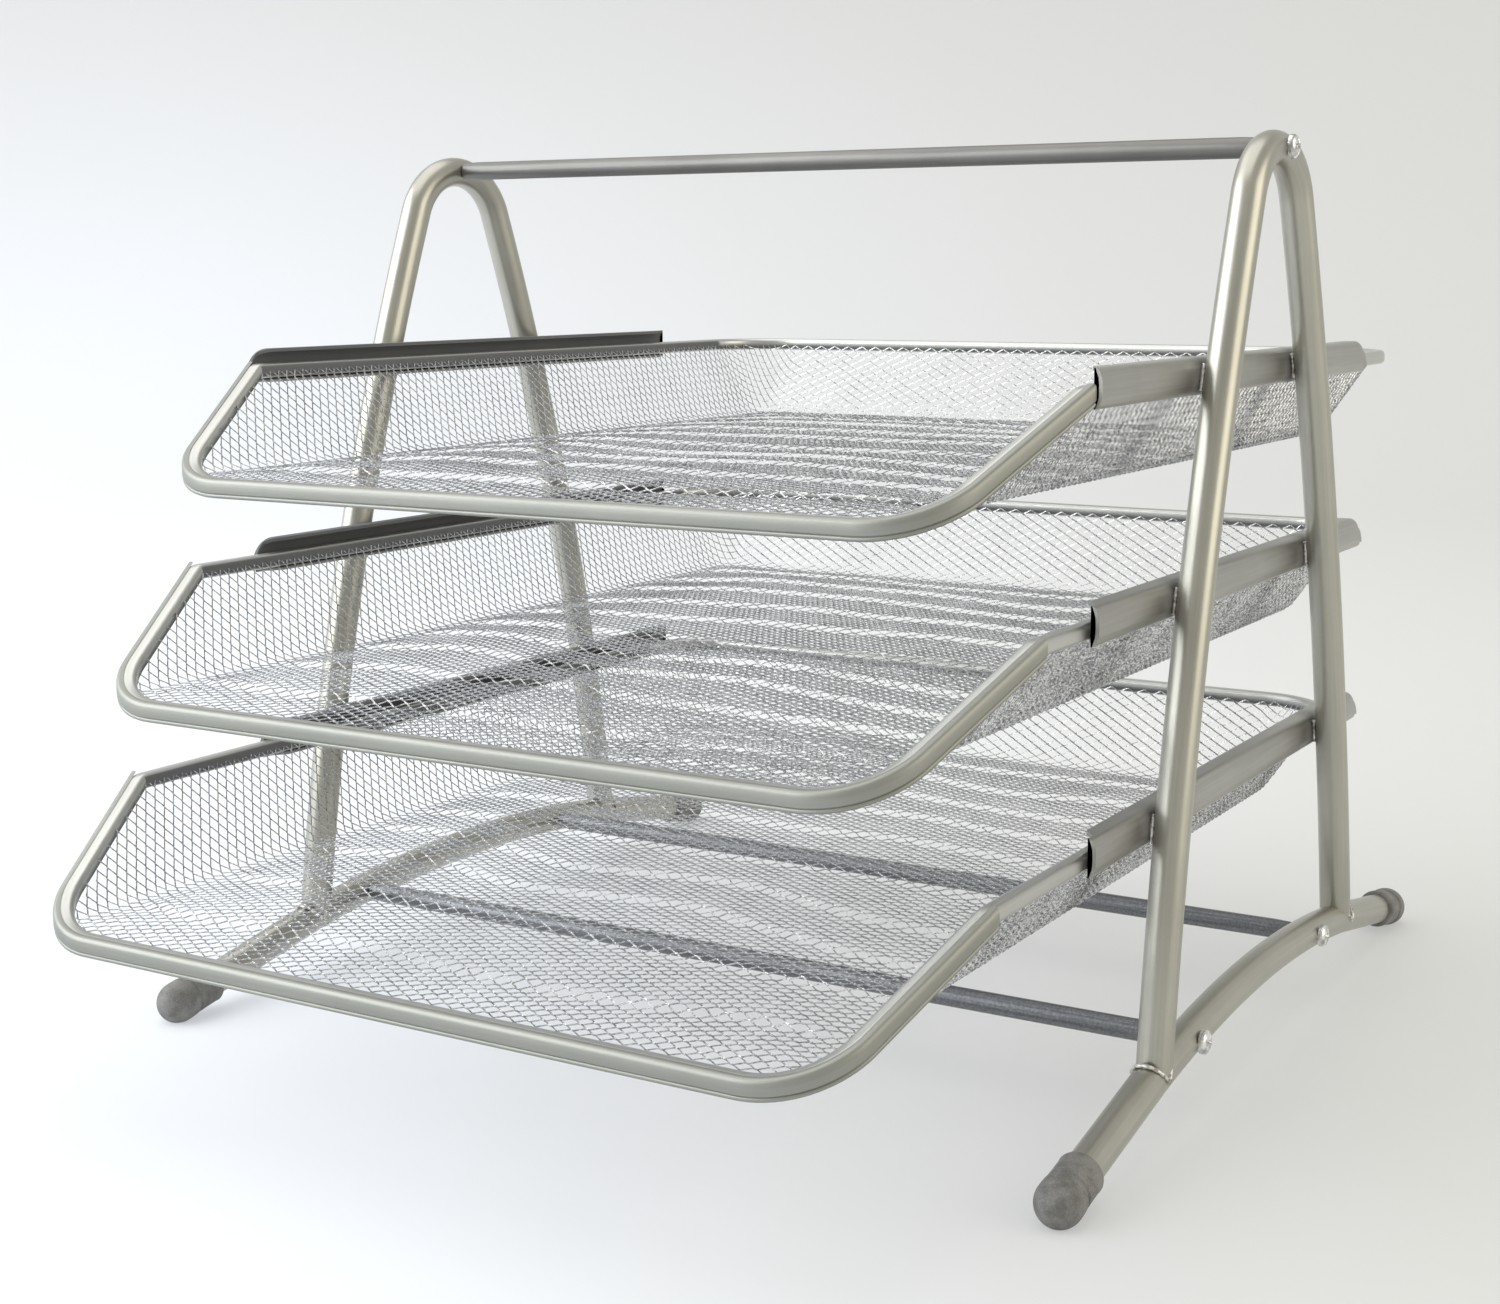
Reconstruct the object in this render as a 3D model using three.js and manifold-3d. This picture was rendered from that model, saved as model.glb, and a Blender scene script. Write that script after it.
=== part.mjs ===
import * as THREE from 'three';
import { mergeVertices } from 'three/addons/utils/BufferGeometryUtils.js';
import Module from 'manifold-3d';

// Three-tier mesh tray stand: two side hoops on arched base tubes, joined by rods,
// carry six channel rails in which three mesh trays slide.
// Millimetres. X is the width, Y runs from the front (-Y) to the rear, Z is up from the floor.

const wasm = await Module();
wasm.setup();

// Tubes of the two side frames
const TUBE_DIAMETER = 10;
const TUBE_WALL = 1.2;
const HOOP_SPACING = 300;
const HOOP_HEIGHT = 273;
const HOOP_FOOT_SPREAD = 169;
const HOOP_TOP_SPREAD = 32;
const HOOP_LEG_BOW = 10;
const HOOP_CROWN_DEPTH = 14;
const HOOP_LEG_STEPS = 5;
const HOOP_CROWN_STEPS = 4;
const BASE_ARCH_STEPS = 4;
const TUBE_SIDES = 14;
const BORE_SIDES = 8;

// Base tubes: two straight ends that slope to the feet and an arch between the hoop legs
const BASE_SPAN = 290;
const BASE_ARCH_HEIGHT = 24;
const BASE_SHOULDER_HEIGHT = 17.4;

// Rods between the two side frames
const ROD_DIAMETER = 6.2;
const ROD_SIDES = 16;
const FRONT_ROD_Y = -59;
const REAR_ROD_Y = 50;

// Screws that hold the rods from outside
const SCREW_HEAD_DIAMETER = 7;
const SCREW_HEAD_HEIGHT = 2.2;
const SCREW_HEAD_EDGE = 1;
const SCREW_CROWN_RADIUS = 2.5;
const SCREW_CROWN_HEIGHT = 1.9;
const SCREW_SIDES = 12;
const SCREW_SHANK_DIAMETER = 3;
const SCREW_GRIP = 8;
const SCREW_RECESS_WIDTH = 1;
const SCREW_RECESS_LENGTH = 4;
const SCREW_RECESS_DEPTH = 1.2;
const SCREW_CLEARANCE = 0.4;
const HOLE_SIDES = 8;

// Rubber end caps
const CAP_DIAMETER = 13;
const CAP_LENGTH = 14;
const CAP_SKIRT_STEP = 0.5;
const CAP_COLLAR_LENGTH = 5;
const CAP_EDGE_CHAMFER = 0.6;
const CAP_FLAT_DEPTH = 0.6;
const CAP_CLEARANCE = 0.2;
const CAP_SIDES = 18;
const CAP_DOME_STEPS = 4;

// Rails, C-shaped channels welded inside the hoop legs
const RAIL_TOP_HEIGHT = 209;
const RAIL_PITCH = 60;
const RAIL_FRONT_Y = -112;
const RAIL_LENGTH = 231;
const RAIL_HEIGHT = 10.5;
const RAIL_FLANGE = 6;
const RAIL_THICKNESS = 1;
const RAIL_WEB_BOW = 0.6;
const RAIL_WEB_STEPS = 4;
const RAIL_CORNER = 1.8;
const RAIL_END_RADIUS = 4;
const CORNER_SEGMENTS = 4;

// Trays
const TRAY_DEPTH = 345;
const TRAY_SLOPE_LENGTH = 52;
const RIM_WIDTH = 4.6;
const RIM_HEIGHT = 4.6;
const RIM_CHAMFER = 1.2;
const RIM_REAR_RADIUS = 28;
const RIM_FRONT_RADIUS = 24;
const RIM_CORNER_STEPS = 6;
const RIM_ABOVE_FLANGE = 0.3;
const RIM_SIDE_PLAY = 1.3;
const RIM_STOP_GAP = 0.3;
const LIP_THICKNESS = 0.8;
const LIP_DROP = 1;
const LIP_HEM = 1.6;
const FLOOR_DROP = 34.4;
const WALL_FLARE = 20.7;
const SHEET_THICKNESS = 0.8;
const WALL_CELL_LENGTH = 36;
const WALL_CELL_HEIGHT = 11;
const FLOOR_CELL_LENGTH = 42;
const FLOOR_CELL_HEIGHT = 32;
const STRAND_WIDTH = 2.4;
const TOP_PULL = 0;
const MIDDLE_PULL = 28;
const BOTTOM_PULL = 54;

// Gap left between pieces that are welded, seated or clipped on each other
const FIT_GAP = 0.3;

const tubeRadius = TUBE_DIAMETER / 2;
const hoopX = HOOP_SPACING / 2;
const hoopCrown = HOOP_HEIGHT - tubeRadius;
const railOuterX = hoopX - tubeRadius - FIT_GAP;
const railTipX = railOuterX - RAIL_FLANGE;
const rimX = railOuterX - RAIL_THICKNESS - RAIL_WEB_BOW - RIM_SIDE_PLAY - RIM_WIDTH / 2;
const rimBelowRailTop = RAIL_HEIGHT - RAIL_THICKNESS - RIM_ABOVE_FLANGE - RIM_HEIGHT / 2;
const kneeY = RAIL_FRONT_Y - RIM_STOP_GAP;
const floorX = rimX - WALL_FLARE;
const frontRimX = floorX + FIT_GAP + RIM_WIDTH / 2;
const wallCell = { length: WALL_CELL_LENGTH, height: WALL_CELL_HEIGHT };
const floorCell = { length: FLOOR_CELL_LENGTH, height: FLOOR_CELL_HEIGHT };
const outX = new THREE.Vector3(1, 0, 0);
const alongY = new THREE.Vector3(0, 1, 0);
const upZ = new THREE.Vector3(0, 0, 1);

const silverPaint = { color: 0xb9b7b0, roughness: 0.36, metalness: 0.75 };
const railPaint = { color: 0xaeaca6, roughness: 0.42, metalness: 0.7 };
const darkRod = { color: 0x63666a, roughness: 0.4, metalness: 0.7 };
const zincScrew = { color: 0xd2d2d0, roughness: 0.22, metalness: 1 };
const greyRubber = { color: 0x6e6b66, roughness: 0.8, metalness: 0 };
const meshPaint = { color: 0xc3c4c4, roughness: 0.4, metalness: 0.7 };

const assembly = new THREE.Group();
assembly.name = 'mesh_tray_stand';

function addPiece(name, geometry, finish) {
  const piece = new THREE.Mesh(geometry, new THREE.MeshStandardMaterial(finish));
  piece.name = name;
  assembly.add(piece);
  return piece;
}

// Closed-solid helpers

function indexed(geometry) {
  const bare = geometry.clone();
  bare.deleteAttribute('normal');
  bare.deleteAttribute('uv');
  return mergeVertices(bare, 1e-4);
}

function toSolid(geometry) {
  const merged = indexed(geometry);
  return new wasm.Manifold(new wasm.Mesh({
    numProp: 3,
    vertProperties: new Float32Array(merged.attributes.position.array),
    triVerts: new Uint32Array(merged.index.array),
  }));
}

function fromSolid(solid) {
  const mesh = solid.getMesh();
  const geometry = new THREE.BufferGeometry();
  geometry.setAttribute('position', new THREE.BufferAttribute(mesh.vertProperties, 3));
  geometry.setIndex(new THREE.BufferAttribute(mesh.triVerts, 1));
  const flat = geometry.toNonIndexed();
  flat.computeVertexNormals();
  return flat;
}

function signedVolume(positions, triangles) {
  let total = 0;
  const corner = (n) => new THREE.Vector3().fromArray(positions, 3 * n);
  for (let i = 0; i < triangles.length; i += 3) {
    const cross = corner(triangles[i + 1]).cross(corner(triangles[i + 2]));
    total += corner(triangles[i]).dot(cross);
  }
  return total / 6;
}

// A closed solid through rings of points that all have the same count
function loft(rings, closed, capTriangles) {
  const sides = rings[0].length;
  const positions = rings.flat().flatMap((point) => point.toArray());
  const triangles = [];
  const spans = closed ? rings.length : rings.length - 1;
  for (let i = 0; i < spans; i += 1) {
    const near = i * sides;
    const far = ((i + 1) % rings.length) * sides;
    for (let j = 0; j < sides; j += 1) {
      const k = (j + 1) % sides;
      triangles.push(near + j, far + j, far + k, near + j, far + k, near + k);
    }
  }
  if (!closed) {
    const last = (rings.length - 1) * sides;
    for (const [a, b, c] of capTriangles) {
      triangles.push(a, b, c, last + a, last + c, last + b);
    }
  }
  if (signedVolume(positions, triangles) < 0) {
    for (let i = 0; i < triangles.length; i += 3) {
      [triangles[i + 1], triangles[i + 2]] = [triangles[i + 2], triangles[i + 1]];
    }
  }
  const geometry = new THREE.BufferGeometry();
  geometry.setAttribute('position', new THREE.Float32BufferAttribute(positions, 3));
  geometry.setIndex(triangles);
  const flat = geometry.toNonIndexed();
  flat.computeVertexNormals();
  return flat;
}

function ringPoints(radius, sides) {
  return Array.from({ length: sides }, (_, i) => {
    const angle = (2 * Math.PI * i) / sides;
    return new THREE.Vector2(radius * Math.cos(angle), radius * Math.sin(angle));
  });
}

// Curve whose steps fall on its own points, so tight bends get more of them
class PointPath extends THREE.CatmullRomCurve3 {
  getPointAt(share, target) {
    return this.getPoint(share, target);
  }

  getTangentAt(share, target) {
    return this.getTangent(share, target);
  }
}

// Round tube through path points, hollow where a bore is given
function tubeAlong(points, radius, bore) {
  const section = new THREE.Shape(ringPoints(radius, TUBE_SIDES));
  if (bore > 0) {
    section.holes.push(new THREE.Path(ringPoints(bore, BORE_SIDES)));
  }
  const path = new PointPath(points, false, 'centripetal');
  return toSolid(new THREE.ExtrudeGeometry(section, { steps: points.length - 1, extrudePath: path }));
}

// Round bar along X between two places
function barAlongX(x0, x1, y, z, radius, sides) {
  const bar = new THREE.CylinderGeometry(radius, radius, Math.abs(x1 - x0), sides);
  bar.rotateZ(Math.PI / 2);
  bar.translate((x0 + x1) / 2, y, z);
  return bar;
}

// Side frames

function hoopPath(x) {
  const legTop = hoopCrown - HOOP_CROWN_DEPTH;
  const legY = (z) => {
    const t = z / hoopCrown;
    const straight = HOOP_FOOT_SPREAD + (HOOP_TOP_SPREAD - HOOP_FOOT_SPREAD) * t;
    return straight / 2 + 4 * HOOP_LEG_BOW * t * (1 - t);
  };
  const footZ = baseHeightAt(HOOP_FOOT_SPREAD / 2);
  const half = [];
  for (let step = 0; step < HOOP_LEG_STEPS; step += 1) {
    const z = footZ + ((legTop - footZ) * step) / HOOP_LEG_STEPS;
    half.push([legY(z), z]);
  }
  const topY = legY(legTop);
  const lean = Math.atan2(legY(legTop - 1) - topY, 1);
  const sweep = Math.PI / 2 - lean;
  const tall = HOOP_CROWN_DEPTH / (1 - Math.sin(lean));
  for (let step = 0; step < HOOP_CROWN_STEPS; step += 1) {
    const angle = lean + (sweep * step) / HOOP_CROWN_STEPS;
    half.push([
      (topY * Math.cos(angle)) / Math.cos(lean),
      legTop + tall * (Math.sin(angle) - Math.sin(lean)),
    ]);
  }
  return mirroredPath(x, half, hoopCrown);
}

// Path from the front over the middle to the rear, from its rear half given from the foot up
function mirroredPath(x, half, middleZ) {
  return [
    ...half.map(([y, z]) => new THREE.Vector3(x, -y, z)),
    new THREE.Vector3(x, 0, middleZ),
    ...[...half].reverse().map(([y, z]) => new THREE.Vector3(x, y, z)),
  ];
}

function basePath(x) {
  const endZ = CAP_DIAMETER / 2 - CAP_FLAT_DEPTH;
  const shoulderY = HOOP_FOOT_SPREAD / 2;
  const half = [[BASE_SPAN / 2, endZ]];
  for (let step = 0; step < BASE_ARCH_STEPS; step += 1) {
    const share = 1 - step / BASE_ARCH_STEPS;
    const rise = (BASE_ARCH_HEIGHT - BASE_SHOULDER_HEIGHT) * (1 - share * share);
    half.push([shoulderY * share, BASE_SHOULDER_HEIGHT + rise]);
  }
  return mirroredPath(x, half, BASE_ARCH_HEIGHT);
}

function baseHeightAt(y) {
  const points = basePath(0);
  const after = Math.max(1, points.findIndex((point) => point.y >= y));
  const low = points[after - 1];
  const high = points[after];
  return low.z + ((high.z - low.z) * (y - low.y)) / (high.y - low.y);
}

const rods = [
  { name: 'handle_bar', screw: 'handle_screw', tube: 'hoop', y: 0, finish: silverPaint },
  { name: 'cross_bar_front', screw: 'front_bar_screw', tube: 'base', y: FRONT_ROD_Y, finish: darkRod },
  { name: 'cross_bar_rear', screw: 'rear_bar_screw', tube: 'base', y: REAR_ROD_Y, finish: darkRod },
];
for (const rod of rods) {
  rod.z = rod.tube === 'hoop' ? hoopCrown : baseHeightAt(rod.y);
}

const screwHole = SCREW_SHANK_DIAMETER / 2 + SCREW_CLEARANCE;

function drillForRods(solid, x, tube) {
  let drilled = solid;
  for (const rod of rods.filter((each) => each.tube === tube)) {
    const hole = barAlongX(x - TUBE_DIAMETER, x + TUBE_DIAMETER, rod.y, rod.z, screwHole, HOLE_SIDES);
    drilled = drilled.subtract(toSolid(hole));
  }
  return drilled;
}

function capGeometry(x, side) {
  const capRadius = CAP_DIAMETER / 2;
  const path = side < 0 ? basePath(x) : basePath(x).reverse();
  const tubeEnd = path[0];
  const inward = path[1].clone().sub(tubeEnd).normalize();
  const skirtRadius = capRadius - CAP_SKIRT_STEP;
  const boreRadius = tubeRadius + CAP_CLEARANCE;
  const profile = [new THREE.Vector2(0, -capRadius)];
  for (let step = 1; step <= CAP_DOME_STEPS; step += 1) {
    const angle = (step * Math.PI) / (2 * CAP_DOME_STEPS);
    profile.push(new THREE.Vector2(capRadius * Math.sin(angle), -capRadius * Math.cos(angle)));
  }
  profile.push(new THREE.Vector2(skirtRadius, CAP_COLLAR_LENGTH));
  profile.push(new THREE.Vector2(skirtRadius, CAP_LENGTH - CAP_EDGE_CHAMFER));
  profile.push(new THREE.Vector2(skirtRadius - CAP_EDGE_CHAMFER, CAP_LENGTH));
  profile.push(new THREE.Vector2(boreRadius, CAP_LENGTH));
  profile.push(new THREE.Vector2(boreRadius, -FIT_GAP));
  profile.push(new THREE.Vector2(0, -FIT_GAP));
  const cap = new THREE.LatheGeometry(profile, CAP_SIDES);
  cap.applyQuaternion(new THREE.Quaternion().setFromUnitVectors(alongY, inward));
  cap.translate(tubeEnd.x, tubeEnd.y, tubeEnd.z);
  const aboveFloor = new THREE.BoxGeometry(4 * CAP_DIAMETER, 4 * CAP_DIAMETER, 4 * CAP_DIAMETER);
  aboveFloor.translate(tubeEnd.x, tubeEnd.y, 2 * CAP_DIAMETER);
  return fromSolid(toSolid(cap).intersect(toSolid(aboveFloor)));
}

function screwGeometry(outward, y, z) {
  const seat = tubeRadius + FIT_GAP;
  const headRadius = SCREW_HEAD_DIAMETER / 2;
  const shankRadius = SCREW_SHANK_DIAMETER / 2;
  const tip = -tubeRadius - SCREW_GRIP;
  const profile = [
    new THREE.Vector2(0, tip),
    new THREE.Vector2(shankRadius, tip),
    new THREE.Vector2(shankRadius, seat),
    new THREE.Vector2(headRadius, seat),
    new THREE.Vector2(headRadius, seat + SCREW_HEAD_EDGE),
    new THREE.Vector2(SCREW_CROWN_RADIUS, seat + SCREW_CROWN_HEIGHT),
    new THREE.Vector2(0, seat + SCREW_HEAD_HEIGHT),
  ];
  let solid = toSolid(new THREE.LatheGeometry(profile, SCREW_SIDES));
  for (const turn of [0, Math.PI / 2]) {
    const slot = new THREE.BoxGeometry(SCREW_RECESS_LENGTH, 2 * SCREW_RECESS_DEPTH, SCREW_RECESS_WIDTH);
    slot.rotateY(turn);
    slot.translate(0, seat + SCREW_HEAD_HEIGHT, 0);
    solid = solid.subtract(toSolid(slot));
  }
  const screw = fromSolid(solid);
  screw.rotateZ(-outward * Math.PI / 2);
  screw.translate(outward * hoopX, y, z);
  return screw;
}

function buildSideFrame(side) {
  const x = side * hoopX;
  const label = side < 0 ? 'left' : 'right';
  const bore = tubeRadius - TUBE_WALL;
  const base = tubeAlong(basePath(x), tubeRadius, bore);
  const baseEnvelope = tubeAlong(basePath(x), tubeRadius + FIT_GAP, 0);
  const hoop = tubeAlong(hoopPath(x), tubeRadius, bore).subtract(baseEnvelope);
  addPiece(`hoop_${label}`, fromSolid(drillForRods(hoop, x, 'hoop')), silverPaint);
  addPiece(`base_tube_${label}`, fromSolid(drillForRods(base, x, 'base')), silverPaint);
  addPiece(`foot_cap_front_${label}`, capGeometry(x, -1), greyRubber);
  addPiece(`foot_cap_rear_${label}`, capGeometry(x, 1), greyRubber);
  for (const rod of rods) {
    addPiece(`${rod.screw}_${label}`, screwGeometry(side, rod.y, rod.z), zincScrew);
  }
}

function buildRod(rod) {
  const reach = hoopX - tubeRadius - FIT_GAP;
  let solid = toSolid(barAlongX(-reach, reach, rod.y, rod.z, ROD_DIAMETER / 2, ROD_SIDES));
  for (const side of [-1, 1]) {
    const hole = barAlongX(side * (reach - SCREW_GRIP - 1), side * (reach + 1), rod.y, rod.z,
      SCREW_SHANK_DIAMETER / 2 + FIT_GAP, HOLE_SIDES);
    solid = solid.subtract(toSolid(hole));
  }
  addPiece(rod.name, fromSolid(solid), rod.finish);
}

// Rails

function railSection(side) {
  const bow = (share) => RAIL_WEB_BOW * (1 - (2 * share - 1) ** 2);
  const webX = railOuterX - RAIL_WEB_BOW;
  const outer = [[railTipX, 0], [webX - RAIL_CORNER, 0]];
  const inner = [[railTipX, -RAIL_THICKNESS], [webX - RAIL_CORNER, -RAIL_THICKNESS]];
  const corner = RAIL_CORNER / RAIL_HEIGHT;
  for (let step = 0; step <= RAIL_WEB_STEPS; step += 1) {
    const share = corner + ((1 - 2 * corner) * step) / RAIL_WEB_STEPS;
    outer.push([webX + bow(share), -RAIL_HEIGHT * share]);
    inner.push([webX - RAIL_THICKNESS + bow(share), -RAIL_HEIGHT * share]);
  }
  outer.push([webX - RAIL_CORNER, -RAIL_HEIGHT]);
  outer.push([railTipX, -RAIL_HEIGHT]);
  inner.push([webX - RAIL_CORNER, RAIL_THICKNESS - RAIL_HEIGHT]);
  inner.push([railTipX, RAIL_THICKNESS - RAIL_HEIGHT]);
  return [...outer, ...inner.reverse()].map(([x, z]) => new THREE.Vector2(side * x, z));
}

// Plan outline of a rail, with its flange corners rounded at both ends
function railPlan(side) {
  const plan = new THREE.Shape();
  const wide = railOuterX + 1;
  const r = RAIL_END_RADIUS;
  plan.moveTo(wide, 0);
  plan.lineTo(wide, RAIL_LENGTH);
  plan.absarc(railTipX + r, RAIL_LENGTH - r, r, Math.PI / 2, Math.PI, false);
  plan.absarc(railTipX + r, r, r, Math.PI, 1.5 * Math.PI, false);
  plan.closePath();
  const prism = new THREE.ExtrudeGeometry(plan, {
    depth: RAIL_HEIGHT + 2,
    bevelEnabled: false,
    curveSegments: CORNER_SEGMENTS,
  });
  prism.translate(0, 0, -RAIL_HEIGHT - 1);
  if (side < 0) {
    prism.rotateZ(Math.PI);
    prism.translate(0, RAIL_LENGTH, 0);
  }
  return prism;
}

function railGeometry(side, topZ) {
  const section = new THREE.Shape(railSection(side));
  const bar = new THREE.ExtrudeGeometry(section, { depth: RAIL_LENGTH, bevelEnabled: false });
  bar.rotateX(Math.PI / 2);
  bar.translate(0, RAIL_LENGTH, 0);
  const rail = fromSolid(toSolid(bar).intersect(toSolid(railPlan(side))));
  rail.translate(0, RAIL_FRONT_Y, topZ);
  return rail;
}

// Trays, drawn with Y from the knee and Z from the top of their rails

// Points along straight legs whose corners are rounded
function roundedPath(corners) {
  const count = corners.length;
  const points = [];
  corners.forEach((corner, i) => {
    if (!corner.radius) {
      points.push(corner.at.clone());
      return;
    }
    const back = corners[(i + count - 1) % count].at.clone().sub(corner.at).normalize();
    const ahead = corners[(i + 1) % count].at.clone().sub(corner.at).normalize();
    const half = back.angleTo(ahead) / 2;
    const centre = back.clone().add(ahead).normalize()
      .multiplyScalar(corner.radius / Math.sin(half)).add(corner.at);
    const from = back.clone().multiplyScalar(corner.radius / Math.tan(half)).add(corner.at).sub(centre);
    const to = ahead.clone().multiplyScalar(corner.radius / Math.tan(half)).add(corner.at).sub(centre);
    const sweepAngle = from.angleTo(to);
    for (let n = 0; n <= RIM_CORNER_STEPS; n += 1) {
      const share = n / RIM_CORNER_STEPS;
      const a = Math.sin((1 - share) * sweepAngle) / Math.sin(sweepAngle);
      const b = Math.sin(share * sweepAngle) / Math.sin(sweepAngle);
      points.push(centre.clone().addScaledVector(from, a).addScaledVector(to, b));
    }
  });
  return points;
}

// Directions at each path point: along, outward and upward of the strip
function pathFrames(points, closed) {
  const count = points.length;
  const leg = (i) => points[(i + 1) % count].clone().sub(points[i % count]).normalize();
  return points.map((point, i) => {
    const atStart = !closed && i === 0;
    const atEnd = !closed && i === count - 1;
    const before = atStart ? leg(0) : leg((i + count - 1) % count);
    const after = atEnd ? before : leg(i);
    const along = before.clone().add(after).normalize();
    const out = before.clone().cross(upZ).normalize();
    const up = out.clone().cross(before).normalize();
    return { point, before, along, out, up };
  });
}

// The section at a path point, mitred to the plane across the bend
function mitredSection(frame, section, normal) {
  return section.map(([a, b]) => {
    const place = frame.point.clone().addScaledVector(frame.out, a).addScaledVector(frame.up, b);
    const off = place.clone().sub(frame.point).dot(normal);
    return place.addScaledVector(frame.before, -off / frame.before.dot(normal));
  });
}

function rimSection() {
  const w = RIM_WIDTH / 2;
  const h = RIM_HEIGHT / 2;
  const c = RIM_CHAMFER;
  return [
    [w, -h + c], [w, h - c], [w - c, h], [-w + c, h],
    [-w, h - c], [-w, -h + c], [-w + c, -h], [w - c, -h],
  ];
}

function lipSection() {
  const inside = RIM_WIDTH / 2 + FIT_GAP;
  const outside = inside + LIP_THICKNESS;
  const top = RIM_HEIGHT / 2 - RIM_CHAMFER;
  const bottom = -RIM_HEIGHT / 2 - LIP_DROP;
  const hem = inside - LIP_HEM;
  const hemTop = bottom + LIP_THICKNESS;
  return [
    [outside, bottom], [outside, top], [inside, top],
    [inside, hemTop], [hem, hemTop], [hem, bottom],
  ];
}

const rimHeight = -rimBelowRailTop;
const frontRimHeight = -FLOOR_DROP - RIM_HEIGHT / 2;
const frontRimY = -TRAY_SLOPE_LENGTH;
const lipFrontY = frontRimY - RIM_WIDTH / 2 - FIT_GAP - LIP_THICKNESS;
const rearRimY = lipFrontY + TRAY_DEPTH - RIM_WIDTH / 2;

function rimCorners() {
  const rear = (side) => ({
    at: new THREE.Vector3(side * rimX, rearRimY, rimHeight),
    radius: RIM_REAR_RADIUS,
  });
  const knee = (side) => ({
    at: new THREE.Vector3(side * rimX, 0, rimHeight),
    radius: 0,
  });
  const front = (side) => ({
    at: new THREE.Vector3(side * frontRimX, frontRimY, frontRimHeight),
    radius: RIM_FRONT_RADIUS,
  });
  return [front(1), knee(1), rear(1), rear(-1), knee(-1), front(-1)];
}

function rimGeometry() {
  const frames = pathFrames(roundedPath(rimCorners()), true);
  const rings = frames.map((frame) => mitredSection(frame, rimSection(), frame.along));
  return loft(rings, true, []);
}

function lipGeometry() {
  const [frontRight, kneeRight, , , kneeLeft, frontLeft] = rimCorners();
  const points = roundedPath([kneeLeft, frontLeft, frontRight, kneeRight]);
  const frames = pathFrames(points, false);
  const rings = frames.map((frame, i) => {
    const isEnd = i === 0 || i === frames.length - 1;
    return mitredSection(frame, lipSection(), isEnd ? alongY : frame.along);
  });
  const section = lipSection().map(([a, b]) => new THREE.Vector2(a, b));
  return loft(rings, false, THREE.ShapeUtils.triangulateShape(section, []));
}

// Plan outline of the floor sheet, which follows the rim in front and the walls elsewhere
function floorOutline() {
  const rearY = rearRimY - WALL_FLARE;
  const rearRadius = RIM_REAR_RADIUS - WALL_FLARE;
  const reach = RIM_FRONT_RADIUS - RIM_WIDTH / 2 - FIT_GAP;
  const slopeRun = new THREE.Vector3(rimX - frontRimX, TRAY_SLOPE_LENGTH, rimHeight - frontRimHeight);
  const bend = slopeRun.angleTo(outX.clone().negate());
  const centreX = frontRimX - RIM_FRONT_RADIUS / Math.tan(bend / 2);
  const centreY = frontRimY + RIM_FRONT_RADIUS;
  const meet = Math.acos(Math.min(1, (floorX - centreX) / reach));
  const outline = new THREE.Shape();
  outline.absarc(centreX, centreY, reach, -Math.PI / 2, -meet, false);
  outline.absarc(floorX - rearRadius, rearY - rearRadius, rearRadius, 0, Math.PI / 2, false);
  outline.absarc(-floorX + rearRadius, rearY - rearRadius, rearRadius, Math.PI / 2, Math.PI, false);
  outline.absarc(-centreX, centreY, reach, Math.PI + meet, 1.5 * Math.PI, false);
  return outline;
}

// Corners of one diamond opening, given by its cell of the pattern
function diamondCorners(u, v, cell) {
  const a = cell.length / 2 - (STRAND_WIDTH * cell.length) / (2 * cell.height);
  const b = cell.height / 2 - STRAND_WIDTH / 2;
  return [
    new THREE.Vector2(u + a, v),
    new THREE.Vector2(u, v + b),
    new THREE.Vector2(u - a, v),
    new THREE.Vector2(u, v - b),
  ];
}

// Staggered diamond openings that fit whole between the limits and pass the test at each corner
function diamondPattern(low, high, cell, passes) {
  const diamonds = [];
  const columns = Math.floor((high.x - low.x) / cell.length);
  const rows = Math.floor((2 * (high.y - low.y)) / cell.height);
  const middle = low.clone().add(high).multiplyScalar(0.5);
  const limits = new THREE.Box2(low, high);
  const fits = (corner) => limits.containsPoint(corner) && passes(corner.x, corner.y);
  for (let row = 0; row < rows; row += 1) {
    const v = middle.y + ((row - (rows - 1) / 2) * cell.height) / 2;
    const stagger = row % 2 === 0 ? 0 : 0.5;
    for (let column = -columns; column <= columns; column += 1) {
      const corners = diamondCorners(middle.x + (column + stagger) * cell.length, v, cell);
      if (corners.every(fits)) {
        diamonds.push(corners);
      }
    }
  }
  return diamonds;
}

// Solid made of diamond columns, standing on the plane of the pattern
function diamondColumns(diamonds, depth) {
  const shapes = diamonds.map((corners) => new THREE.Shape(corners));
  return new THREE.ExtrudeGeometry(shapes, { depth, bevelEnabled: false });
}

function floorGeometry() {
  const margin = 2 * STRAND_WIDTH;
  const half = floorX - margin;
  const low = new THREE.Vector2(-half, frontRimY + RIM_WIDTH / 2 + margin);
  const high = new THREE.Vector2(half, rearRimY - WALL_FLARE - margin);
  const cornerReach = floorX - low.y - RIM_FRONT_RADIUS / 2 + margin;
  const clearOfCorners = (x, y) => Math.abs(x) - y < cornerReach;
  const sheet = new THREE.ExtrudeGeometry(floorOutline(), {
    depth: SHEET_THICKNESS,
    bevelEnabled: false,
    curveSegments: CORNER_SEGMENTS,
  });
  const columns = diamondColumns(diamondPattern(low, high, floorCell, clearOfCorners), 3 * SHEET_THICKNESS);
  columns.translate(0, 0, -SHEET_THICKNESS);
  const floor = fromSolid(toSolid(sheet).subtract(toSolid(columns)));
  floor.translate(0, 0, -FLOOR_DROP - SHEET_THICKNESS);
  return floor;
}

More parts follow.
